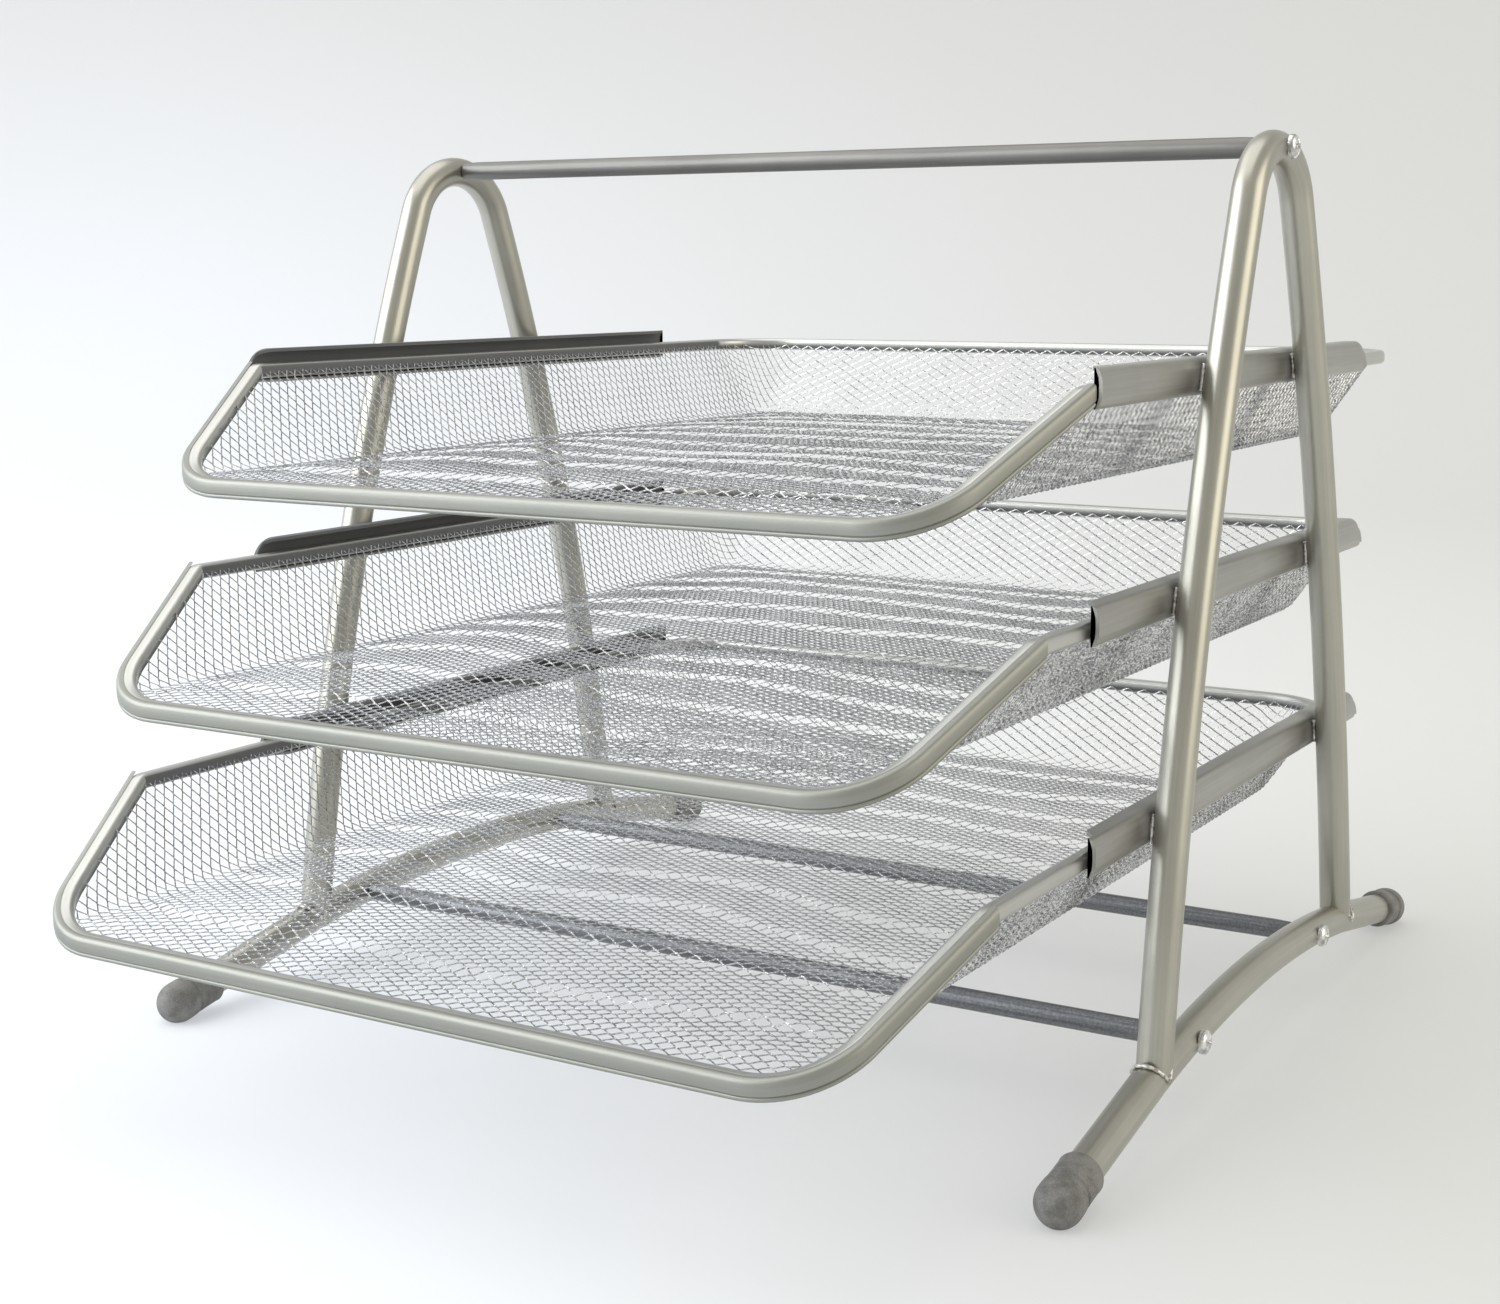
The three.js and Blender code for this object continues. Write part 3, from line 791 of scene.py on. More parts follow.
@dataclass
class Paintbox:
    """All finishes of the stand, each made once."""

    tube: bpy.types.Material
    rail: bpy.types.Material
    rim: bpy.types.Material
    strip: bpy.types.Material
    grip: bpy.types.Material
    strand: bpy.types.Material
    graphite: bpy.types.Material
    zinc: bpy.types.Material
    rubber: bpy.types.Material
    weld: bpy.types.Material

    @classmethod
    def mixed(cls) -> "Paintbox":
        """Builds every finish.

        Returns:
            The finishes.
        """
        # The strip and the grip get darker copies of the silver paint, as painted shade.
        greys = {
            "rail": ((0.43, 0.425, 0.40, 1.0), (0.35, 0.345, 0.325, 1.0), 0.33),
            "rim": ((0.56, 0.565, 0.54, 1.0), (0.49, 0.495, 0.47, 1.0), 0.33),
            "strip": ((0.335, 0.34, 0.31, 1.0), (0.295, 0.30, 0.275, 1.0), 0.5),
            "grip": ((0.225, 0.222, 0.21, 1.0), (0.165, 0.163, 0.155, 1.0), 0.42),
        }
        silver = {
            part: SilverPaint(f"{part}_paint", light, dark, roughness=roughness).build()
            for part, (light, dark, roughness) in greys.items()
        }
        return cls(
            tube=SilverPaint("tube_paint").build(),
            strand=StrandPaint("strand_paint").build(),
            graphite=GraphitePaint("graphite_paint").build(),
            zinc=BrightZinc("bright_zinc").build(),
            rubber=MouldedRubber("moulded_rubber").build(),
            weld=WeldMetal("weld_metal").build(),
            **silver,
        )


# Side frames


@dataclass
class FramePlan:
    """Where the tubes, rails and bars of the stand run, as in the solids."""

    tube_radius: float = 5.0 * MM
    hoop_x: float = 150.0 * MM
    foot_spread: float = 169.0 * MM
    top_spread: float = 32.0 * MM
    leg_bow: float = 10.0 * MM
    crown_depth: float = 14.0 * MM
    base_span: float = 290.0 * MM
    base_end: float = 5.9 * MM
    shoulder_height: float = 17.4 * MM
    arch_height: float = 24.0 * MM
    leg_steps: int = 60
    crown_steps: int = 22
    arch_steps: int = 40
    run_steps: int = 12
    # Strongest painted shade at a rail joint.
    weld_soot: float = 0.55

    def __post_init__(self) -> None:
        """Takes the stand's middle and the rails' places from the solids."""
        self.middle_y = sum(corner[1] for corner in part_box("handle_bar")) / 2
        self.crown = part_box("hoop_left")[1][2] - self.tube_radius
        self.rail_tops = {tier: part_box(f"rail_{tier.value}_left")[1][2] for tier in Tier}
        low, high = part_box("rail_top_left")
        self.rail_height = high[2] - low[2]

    def leg_y(self, z: float) -> float:
        """How far a leg's centre is from the middle at a height.

        Args:
            z: The height.

        Returns:
            The distance.
        """
        share = z / self.crown
        straight = self.foot_spread + (self.top_spread - self.foot_spread) * share
        return straight / 2 + 4 * self.leg_bow * share * (1 - share)

    def hoop_path(self, side: Side) -> list[Vector]:
        """The centre line of a hoop, from its front foot over the crown to the rear one.

        Args:
            side: The side.

        Returns:
            The path's points.
        """
        leg_top = self.crown - self.crown_depth
        half = []
        for step in range(self.leg_steps):
            z = self.shoulder_height + (leg_top - self.shoulder_height) * step / self.leg_steps
            half.append((self.leg_y(z), z))
        top_y = self.leg_y(leg_top)
        lean = math.atan2(self.leg_y(leg_top - MM) - top_y, MM)
        tall = self.crown_depth / (1 - math.sin(lean))
        for step in range(self.crown_steps):
            angle = lean + (math.pi / 2 - lean) * step / self.crown_steps
            y = top_y * math.cos(angle) / math.cos(lean)
            half.append((y, leg_top + tall * (math.sin(angle) - math.sin(lean))))
        return self._mirrored(side, half, self.crown)

    def base_path(self, side: Side) -> list[Vector]:
        """The centre line of a base tube, from its front end to the rear one.

        Args:
            side: The side.

        Returns:
            The path's points.
        """
        shoulder = self.foot_spread / 2
        end = self.base_span / 2
        half = []
        for step in range(self.run_steps):
            share = step / self.run_steps
            height = self.base_end + (self.shoulder_height - self.base_end) * share
            half.append((end + (shoulder - end) * share, height))
        for step in range(self.arch_steps):
            share = 1 - step / self.arch_steps
            rise = (self.arch_height - self.shoulder_height) * (1 - share * share)
            half.append((shoulder * share, self.shoulder_height + rise))
        return self._mirrored(side, half, self.arch_height)

    def _mirrored(self, side: Side, half: list[tuple[float, float]], top: float) -> list[Vector]:
        """A path in front of and behind the middle, from one half of it.

        Args:
            side: The side.
            half: The front half of the path as distance from the middle and height.
            top: The height of its middle point.

        Returns:
            The whole path.
        """
        x = side.value * self.hoop_x
        front = [Vector((x, self.middle_y - y, z)) for y, z in half]
        rear = [Vector((x, self.middle_y + y, z)) for y, z in reversed(half)]
        return front + [Vector((x, self.middle_y, top))] + rear

    def rail_joints(self, side: Side) -> list[Vector]:
        """Where the rails of a side are welded to the legs.

        Args:
            side: The side.

        Returns:
            The places.
        """
        inner = side.value * (self.hoop_x - self.tube_radius)
        places = []
        for top in self.rail_tops.values():
            z = top - self.rail_height / 2
            places += [Vector((inner, self.middle_y + end.value * self.leg_y(z), z)) for end in End]
        return places

    def foot_joints(self, side: Side) -> list[Vector]:
        """Where the legs of a side are welded to its base tube.

        Args:
            side: The side.

        Returns:
            The places.
        """
        x = side.value * self.hoop_x
        y = self.foot_spread / 2
        z = self.shoulder_height
        return [Vector((x, self.middle_y + end.value * y, z)) for end in End]

    def soot(self, spread: float) -> Callable[[Vector, int], float]:
        """How much painted shade falls on the paint round the rails' joints with the legs, from 0 to 1.

        Args:
            spread: How far the soot reaches.

        Returns:
            A function of a point on the frame and its number in the section.
        """
        places = [place for side in Side for place in self.rail_joints(side)]

        def amount(point: Vector, _: int) -> float:
            """Painted shade at a point."""
            nearest = min((point - place).length for place in places)
            return self.weld_soot * math.exp(-((nearest / spread) ** 2))

        return amount


@dataclass
class SideFrame:
    """A hoop, its base tube and the two rubber caps on one side."""

    plan: FramePlan
    side: Side
    tube_sides: int = 44
    cap_sides: int = 56
    cap_radius: float = 6.5 * MM
    cap_length: float = 14.0 * MM
    collar_radius: float = 6.25 * MM
    neck_radius: float = 5.85 * MM
    dome_steps: int = 14
    soot_spread: float = 7.5 * MM

    def build(self, paints: Paintbox) -> None:
        """Makes and dresses the side frame.

        Args:
            paints: The finishes.
        """
        label = self.side.label
        # The hoop is painted darker round the rail joints, as painted shade.
        soot = self.plan.soot(self.soot_spread)
        hoop = Skin(f"hoop_tube_{label}", self._tube(self.plan.hoop_path(self.side)), soot=soot)
        settle(hoop.piece(paints.tube), "frame", "silver_paint", f"hoop_{label}")
        base = Skin(f"base_arch_{label}", self._tube(self.plan.base_path(self.side)))
        settle(base.piece(paints.tube), "frame", "silver_paint", f"base_tube_{label}")
        for end in End:
            cap = self._cap(end, paints.rubber)
            settle(cap, "frame", "grey_rubber", f"foot_cap_{end.label}_{label}")

    def _tube(self, path: list[Vector]) -> list[list[Vector]]:
        """The rings of a tube along a path."""
        return upright_rings(path, self.plan.tube_radius, self.tube_sides)

    def _cap_profile(self) -> Section:
        """Distance along the tube and radius of a cap, from its round end inwards.

        Returns:
            The profile.
        """
        radius, length, collar = self.cap_radius, self.cap_length, self.collar_radius
        dome = []
        for step in range(1, self.dome_steps + 1):
            angle = step / self.dome_steps * math.pi / 2
            dome.append((-radius * math.cos(angle), radius * math.sin(angle)))
        return dome + [
            (1.6 * MM, radius),
            (3.4 * MM, radius * 0.985),
            (4.0 * MM, self.neck_radius),
            (4.5 * MM, self.neck_radius),
            (5.0 * MM, collar),
            (length - 2.2 * MM, collar * 0.99),
            (length - 0.9 * MM, collar * 1.01),
            (length - 0.25 * MM, collar * 0.97),
            (length, collar * 0.9),
            (length, self.plan.tube_radius * 0.96),
        ]

    def _cap(self, end: End, finish: bpy.types.Material) -> bpy.types.Object:
        """Makes one rubber cap, flattened where it rests on the floor.

        Args:
            end: The end.
            finish: The material.

        Returns:
            The cap.
        """
        path = self.plan.base_path(self.side)
        if end is End.REAR:
            path.reverse()
        tip, inward = path[0], (path[1] - path[0]).normalized()
        up = inward.cross(X_AXIS).normalized()
        rings = []
        for along, radius in self._cap_profile():
            ring = ring_about(tip + inward * along, X_AXIS, up, radius, self.cap_sides)
            for point in ring:
                point.z = max(point.z, 0.0)
            rings.append(ring)
        return Skin(f"rubber_foot_{end.label}_{self.side.label}", rings).piece(finish)


@dataclass
class CrossRods:
    """The handle bar and the two cross bars."""

    sides: int = 36
    steps: int = 30
    swage_length: float = 5.0 * MM
    swage: float = 0.07
    swage_flat: float = 0.9

    def build(self, paints: Paintbox) -> None:
        """Makes and dresses the three bars.

        Args:
            paints: The finishes.
        """
        bars = {
            "handle_bar": ("grip_bar", paints.grip, "silver_paint"),
            "cross_bar_front": ("floor_bar_front", paints.graphite, "dark_rod"),
            "cross_bar_rear": ("floor_bar_rear", paints.graphite, "dark_rod"),
        }
        for node, (name, finish, slot) in bars.items():
            settle(self._bar(name, node, finish), "frame", slot, node)

    def _bar(self, name: str, node: str, finish: bpy.types.Material) -> bpy.types.Object:
        """Makes one bar in the place of its solid, with pressed ends.

        Args:
            name: The piece's name.
            node: The solid whose place it takes.
            finish: The material.

        Returns:
            The bar.
        """
        low, high = (Vector(corner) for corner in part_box(node))
        radius = (high.z - low.z) / 2
        middle = (low + high) / 2
        reach = high.x
        stations = [reach * (2 * step / self.steps - 1) for step in range(self.steps + 1)]
        stations += [side * (reach - self.swage_length) for side in (-1, 1)]
        rings = []
        for x in sorted(stations):
            at_end = reach - abs(x) < self.swage_length * self.swage_flat
            pressed = radius * (1 - self.swage) if at_end else radius
            rings.append(ring_about(Vector((x, middle.y, middle.z)), Y_AXIS, Z_AXIS, pressed, self.sides))
        return Skin(name, rings).piece(finish)


@dataclass
class Screws:
    """Domed screws with a cross recess, on the outside of the side frames."""

    head_radius: float = 3.5 * MM
    head_height: float = 2.2 * MM
    edge_height: float = 0.7 * MM
    recess_reach: float = 2.0 * MM
    recess_half: float = 0.5 * MM
    recess_depth: float = 1.1 * MM
    recess_slope: float = 0.35 * MM
    shank_length: float = 5.0 * MM
    shank_radius: float = 1.5 * MM
    head_back: float = 0.2 * MM
    left_turn: float = 0.4
    sharp: float = math.radians(50)
    sides: int = 64
    rings: int = 16
    nodes: tuple[str, ...] = ("handle_screw", "front_bar_screw", "rear_bar_screw")

    def build(self, paints: Paintbox) -> None:
        """Makes all screws as one piece of the frame.

        Args:
            paints: The finishes.
        """
        names = [f"{node}_{side.label}" for node in self.nodes for side in Side]
        seats = bpy.data.meshes.new("screw_seats")
        seats.from_pydata([self._seat(name) for name in names], [], [])
        turned = seats.attributes.new("turned", "FLOAT", "POINT")
        turned.data.foreach_set("value", [float(name.endswith("left")) for name in names])
        template = self._head()
        values = {"Head": template, "Left Turn": self.left_turn, "Finish": paints.zinc}
        screws = grown("dome_screws", seats, self._tree(values), values, True)
        screws.data.set_sharp_from_angle(angle=self.sharp)
        bpy.data.objects.remove(template)
        settle(screws, "frame", "zinc_screw", *names)

    def _seat(self, name: str) -> Vector:
        """The middle of the ring where a screw's head meets the tube.

        Args:
            name: The screw's solid.

        Returns:
            The place.
        """
        low, high = (Vector(corner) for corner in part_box(name))
        middle = (low + high) / 2
        outermost = high.x - self.head_height if high.x > 0 else low.x + self.head_height
        return Vector((outermost, middle.y, middle.z))

    def _head(self) -> bpy.types.Object:
        """One head with its shank, its dome towards +X.

        Returns:
            The head, to be set on each seat.
        """
        rows = [self._ring(-self.shank_length, self.shank_radius)]
        rows += [self._ring(-self.head_back, radius) for radius in (self.shank_radius, self.head_radius)]
        rows.append(self._ring(self.edge_height, self.head_radius))
        for step in range(1, self.rings):
            radius = self.head_radius * math.cos(step / self.rings * math.pi / 2)
            row = self._ring(self._dome(radius), radius)
            for point in row:
                point.x -= self._recess(point.y, point.z)
            rows.append(row)
        body = bmesh.new()
        rings = [[body.verts.new(point) for point in row] for row in rows]
        for near, far in zip(rings, rings[1:]):
            for corners in bridged(near, far):
                body.faces.new(corners)
        body.faces.new(rings[0])
        body.faces.new(rings[-1])
        return add_object("screw_head", closed_mesh("screw_head", body))

    def _ring(self, x: float, radius: float) -> list[Vector]:
        """Points on a circle round X."""
        return ring_about(Vector((x, 0, 0)), Y_AXIS, Z_AXIS, radius, self.sides)

    def _dome(self, radius: float) -> float:
        """Height of the dome at a distance from its middle."""
        share = radius / self.head_radius
        return self.edge_height + (self.head_height - self.edge_height) * math.sqrt(1 - share * share)

    def _recess(self, y: float, z: float) -> float:
        """Depth of the cross recess at a place on the dome.

        Args:
            y: Y on the head.
            z: Z on the head.

        Returns:
            The depth.
        """
        depth = 0.0
        for a, b in ((abs(y), abs(z)), (abs(z), abs(y))):
            inside = min(self.recess_reach - a, self.recess_half - b)
            depth = max(depth, min(1.0, max(0.0, inside / self.recess_slope + 0.5)))
        return depth * self.recess_depth

    @staticmethod
    def _tree(values: dict[str, object]) -> bpy.types.NodeTree:
        """The tree that sets a head on each seat and turns the left ones.

        Args:
            values: A value for each named input.

        Returns:
            The tree.
        """
        bench = GrowthBench("screws_on_seats", values)
        head = bench.node("GeometryNodeObjectInfo", {}, {"Object": bench["Head"]}, "Geometry")
        turned = bench.node("GeometryNodeInputNamedAttribute", {"data_type": "FLOAT"}, {"Name": "turned"})
        points = bench.node("GeometryNodeMeshToPoints", {}, {"Mesh": bench.given})
        rotation = bench.vector(turned * bench["Left Turn"], 0.0, turned * math.pi)
        return bench.finished(bench.set_out(points, head, Rotation=rotation))


@dataclass
class Welds:
    """Beads where the legs meet the base tubes and where the rails meet the legs."""

    plan: FramePlan
    bead_radius: float = 0.62 * MM
    bead_sides: int = 10
    bead_ripple: float = 700.0
    loop_steps: int = 40
    loop_gap: float = 0.1 * MM
    lean_heights: tuple[float, float] = (0.02, 0.04)
    seam_steps: int = 8
    seam_offset: float = 2.7 * MM
    seam_half: float = 3.6 * MM
    seam_gap: float = 0.2 * MM

    def build(self, paints: Paintbox) -> None:
        """Makes all beads as one piece of the frame.

        Args:
            paints: The finishes.
        """
        points: list[Vector] = []
        edges: list[tuple[int, int]] = []
        for side in Side:
            for line, closed in self._lines(side):
                first = len(points)
                points += line
                edges += [(first + i, first + i + 1) for i in range(len(line) - 1)]
                if closed:
                    edges.append((first + len(line) - 1, first))
        lines = bpy.data.meshes.new("weld_lines")
        lines.from_pydata(points, edges, [])
        values = {
            "Bead Radius": self.bead_radius,
            "Bead Sides": self.bead_sides,
            "Bead Ripple": self.bead_ripple,
            "Finish": paints.weld,
        }
        beads = grown("weld_beads", lines, self._tree(values), values, True)
        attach(beads, "frame")
        report(beads)

    def _lines(self, side: Side) -> Iterator[tuple[list[Vector], bool]]:
        """The lines that the beads of one side follow, and whether each is closed.

        Args:
            side: The side.

        Returns:
            Each line and whether it is closed.
        """
        for place, end in zip(self.plan.foot_joints(side), End):
            yield self._loop(place, end), True
        for place in self.plan.rail_joints(side):
            for across in (-1, 1):
                yield self._seam(place, side, across), False

    def _loop(self, place: Vector, end: End) -> list[Vector]:
        """The line round the foot of a leg, which lies on the base tube.

        Args:
            place: The middle of the leg's foot.
            end: Which leg it is.

        Returns:
            The line's points.
        """
        radius = self.plan.tube_radius
        low, high = self.lean_heights
        lean = math.atan2(self.plan.leg_y(low) - self.plan.leg_y(high), high - low) * -end.value
        loop = []
        for step in range(self.loop_steps):
            angle = 2 * math.pi * step / self.loop_steps
            lift = radius * abs(math.sin(angle))
            x = (radius + self.loop_gap) * math.cos(angle)
            loop.append(place + Vector((x, radius * math.sin(angle) + lift * math.tan(lean), lift)))
        return loop

    def _seam(self, place: Vector, side: Side, across: int) -> list[Vector]:
        """The line up one side of a rail's joint, which follows the lean of the leg.

        Args:
            place: The middle of the joint.
            side: The side.
            across: -1 for the front of the leg, 1 for the rear.

        Returns:
            The line's points.
        """
        end = 1 if place.y > self.plan.middle_y else -1
        x = place.x + side.value * self.seam_gap
        seam = []
        for step in range(self.seam_steps + 1):
            z = place.z + self.seam_half * (2 * step / self.seam_steps - 1)
            lean = end * (self.plan.leg_y(z) - self.plan.leg_y(place.z))
            seam.append(Vector((x, place.y + across * self.seam_offset + lean, z)))
        return seam

    @staticmethod
    def _tree(values: dict[str, object]) -> bpy.types.NodeTree:
        """The tree that lays an uneven bead along each line.

        Args:
            values: A value for each named input.

        Returns:
            The tree.
        """
        bench = GrowthBench("beads_on_lines", values)
        place = bench.node("GeometryNodeInputPosition", {}, {})
        uneven = bench.noise(place, bench["Bead Ripple"], 2.0)
        line = bench.node("GeometryNodeMeshToCurve", {}, {"Mesh": bench.given})
        size = bench["Bead Radius"] * (0.45 + uneven * 1.1)
        sizes = {"Resolution": bench["Bead Sides"], "Radius": 1.0}
        ring = bench.node("GeometryNodeCurvePrimitiveCircle", {}, sizes)
        inputs = {"Curve": line, "Profile Curve": ring, "Scale": size, "Fill Caps": True}
        return bench.finished(bench.node("GeometryNodeCurveToMesh", {}, inputs))


@dataclass
class Rails:
    """The six channel rails inside the hoops, all alike, so that each side shows its own end."""

    plan: FramePlan
    thickness: float = 1.0 * MM
    corner: float = 1.8 * MM
    end_radius: float = 4.0 * MM
    web_bow: float = 0.6 * MM
    soot_spread: float = 10.0 * MM
    # Painted shade on the left rails and inside the right rails.
    left_soot: float = 0.72
    end_soot: float = 0.7
    cut_length: float = 7.5 * MM
    cut_drop: float = 6.4 * MM
    cut_slant: float = 1.8
    cut_depth: float = 0.98
    least_radius: float = 0.4 * MM
    corner_steps: int = 6
    web_steps: int = 10
    end_steps: int = 12
    length_steps: int = 90

    def build(self, paints: Paintbox) -> None:
        """Makes and dresses the rails.

        Args:
            paints: The finishes.
        """
        for tier in Tier:
            for side in Side:
                node = f"rail_{tier.value}_{side.label}"
                name = f"channel_{tier.value}_{side.label}"
                settle(self._rail(name, node, side, paints.rail), "frame", "rail_paint", node)

    def _rail(self, name: str, node: str, side: Side, finish: bpy.types.Material) -> bpy.types.Object:
        """Makes one rail in the place of its solid.

        Args:
            name: The piece's name.
            node: The solid whose place it takes.
            side: The side.
            finish: The material.

        Returns:
            The rail.
        """
        low, high = (Vector(corner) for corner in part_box(node))
        web = high.x if side is Side.RIGHT else -low.x
        tip = low.x if side is Side.RIGHT else -high.x
        flange = web - self.web_bow - self.corner - tip
        rings = []
        for y in self._stations(low.y, high.y):
            from_end = min(y - low.y, high.y - y)
            cut = max(0.0, self.end_radius - from_end)
            rounded = self.end_radius - math.sqrt(self.end_radius**2 - cut**2)
            slant = min(1.0, self.cut_slant * max(0.0, 1 - from_end / self.cut_length))
            pulled = max(rounded, flange * slant * self.cut_depth)
            shown_end = y - low.y if side is Side.LEFT else high.y - y
            share = max(0.0, 1 - shown_end / self.cut_length)
            drop = self.cut_drop * (1 - math.sqrt(1 - share * share))
            section = self._section(web, tip + pulled, high.z - drop, high.z - low.z - drop)
            rings.append([Vector((side.value * x, y, z)) for x, z in section])
        weld_soot = self.plan.soot(self.soot_spread)

        def soot(point: Vector, index: int) -> float:
            """Painted shade round the welds, inside the channel and on top of the left rails.

            Args:
                point: A point of the surface.
                index: Its number in the section.

            Returns:
                The amount, from 0 to 1.
            """
            # The channel's inside and the left rails' tops are painted dark as shade; inside the right
            # rails the painted shade fades out towards the front end.
            inside = index >= len(rings[0]) // 2
            if side is Side.LEFT:
                shade = self.left_soot if inside or index <= self.corner_steps + 1 else 0.0
            else:
                shade = min(self.end_soot, (point.y - low.y) / self.cut_length) if inside else 0.0
            return max(shade, weld_soot(point, index))

        return Skin(name, rings, soot=soot).piece(finish)

    def _stations(self, start: float, end: float) -> list[float]:
        """Places along the rail, close together at its rounded ends and at the welds.

        Args:
            start: The front end's Y.
            end: The rear end's Y.

        Returns:
            The places in order.
        """
        places = [start + (end - start) * i / self.length_steps for i in range(self.length_steps + 1)]
        for step in range(self.end_steps):
            inset = self.cut_length * (1 - math.cos(math.pi / 2 * (step + 0.5) / self.end_steps))
            places += [start + inset, end - inset]
        return sorted(places)

    def _section(self, web: float, tip: float, top: float, height: float) -> Section:
        """The C section at one place: its outer skin down and its inner skin up again.

        Args:
            web: X of the outer side.
            tip: X of the flanges' edge.
            top: Z of its top.
            height: The section's height.

        Returns:
            The section.
        """
        outer = self._skin(web, tip, 0.0, height)
        inner = self._skin(web, tip, self.thickness, height)
        return [(x, top - drop) for x, drop in outer + inner[::-1]]

    def _skin(self, web: float, tip: float, inset: float, height: float) -> Section:
        """One skin of the section as X and the drop from the top.

        Args:
            web: X of the outer side.
            tip: X of the flanges' edge.
            inset: How far the skin lies inside the outer one.
            height: The section's height.

        Returns:
            The skin's points.
        """
        edge = web - self.web_bow - inset
        radius = max(self.corner - inset, self.least_radius)
        half = [(tip, inset)]
        for step in range(self.corner_steps + 1):
            angle = math.pi / 2 * step / self.corner_steps
            half.append((edge - radius + radius * math.sin(angle), inset + radius * (1 - math.cos(angle))))
        middle = []
        start = inset + radius
        for step in range(1, self.web_steps):
            drop = start + (height - 2 * start) * step / self.web_steps
            share = 2 * drop / height - 1
            middle.append((edge + self.web_bow * (1 - share * share), drop))
        return half + middle + [(x, height - drop) for x, drop in reversed(half)]


# Trays


@dataclass
class TrayPlan:
    """Where the rim, the strip and the net of a tray run, with Y from the knee."""

    rim_half: float = 2.3 * MM
    slope_length: float = 52.0 * MM
    rear_radius: float = 28.0 * MM
    front_radius: float = 24.0 * MM
    knee_radius: float = 5.0 * MM
    floor_drop: float = 34.4 * MM
    sheet: float = 0.8 * MM
    flare: float = 20.7 * MM
    gap: float = 0.3 * MM
    corner_steps: int = 18

    def __post_init__(self) -> None:
        """Takes the rim's reach and height from the solid of the top tray."""
        high = Vector(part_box("tray_top_rim")[1])
        self.rim_x = high.x - self.rim_half
        self.rear_y = high.y - self.rim_half - self.knee_y(Tier.TOP)
        self.rim_z = high.z - self.rim_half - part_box("rail_top_left")[1][2]
        self.floor_x = self.rim_x - self.flare
        self.front_x = self.floor_x + self.gap + self.rim_half
        self.front_z = -self.floor_drop - self.rim_half

    def knee_y(self, tier: Tier) -> float:
        """Where the sides of a tray bend down, which is at the rail's front end when it is in.

        Args:
            tier: The tray's level.

        Returns:
            The knee's Y.
        """
        rail_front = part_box("rail_top_left")[0][1]
        tray_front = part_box(f"tray_{tier.value}_front_lip")[0][1]
        top_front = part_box("tray_top_front_lip")[0][1]
        return rail_front - self.gap + tray_front - top_front

    def origin(self, tier: Tier) -> Vector:
        """The point that the tray is drawn from."""
        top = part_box(f"rail_{tier.value}_left")[1][2]
        return Vector((0.0, self.knee_y(tier), top))

    def corners(self) -> list[tuple[Vector, float]]:
        """The rim's corners and their bending radii, from the front right round to the front left.

        Returns:
            Each corner and its radius.
        """
        right = [
            (Vector((self.front_x, -self.slope_length, self.front_z)), self.front_radius),
            (Vector((self.rim_x, 0.0, self.rim_z)), self.knee_radius),
            (Vector((self.rim_x, self.rear_y, self.rim_z)), self.rear_radius),
        ]
        left = [(Vector((-at.x, at.y, at.z)), radius) for at, radius in reversed(right)]
        return right + left

    def rounded(self, corners: list[tuple[Vector, float]], closed: bool) -> list[Vector]:
        """Points along straight legs with rounded corners.

        Args:
            corners: The corners and their radii.
            closed: Whether the path returns to its start.

        Returns:
            The points.
        """
        count = len(corners)
        points = []
        for i, (at, radius) in enumerate(corners):
            if not closed and i in (0, count - 1):
                points.append(at.copy())
                continue
            back = (corners[i - 1][0] - at).normalized()
            ahead = (corners[(i + 1) % count][0] - at).normalized()
            half = back.angle(ahead) / 2
            centre = at + (back + ahead).normalized() * (radius / math.sin(half))
            start = at + back * (radius / math.tan(half)) - centre
            end = at + ahead * (radius / math.tan(half)) - centre
            sweep = start.angle(end)
            for step in range(self.corner_steps + 1):
                share = step / self.corner_steps
                first = math.sin((1 - share) * sweep) / math.sin(sweep)
                last = math.sin(share * sweep) / math.sin(sweep)
                points.append(centre + start * first + end * last)
        return points

    @staticmethod
    def swept(
        points: list[Vector], section: Section, closed: bool, square_ends: bool
    ) -> list[list[Vector]]:
        """Rings of a section along a path, mitred at each point.

        Args:
            points: The path.
            section: The section as outward and upward offsets.
            closed: Whether the path returns to its start.
            square_ends: Whether the ends are cut straight across Y.

        Returns:
            One ring for each point.
        """
        count = len(points)
        rings = []
        for i, point in enumerate(points):
            is_end = not closed and i in (0, count - 1)
            before = (point - points[i - 1]) if (closed or i) else (points[1] - point)
            after = (points[(i + 1) % count] - point) if (closed or i < count - 1) else before
            before, after = before.normalized(), after.normalized()
            normal = Y_AXIS if is_end and square_ends else (before + after).normalized()
            out = before.cross(Z_AXIS).normalized()
            up = out.cross(before).normalized()
            ring = []
            for outward, upward in section:
                offset = out * outward + up * upward
                ring.append(point + offset - before * (offset.dot(normal) / before.dot(normal)))
            rings.append(ring)
        return rings


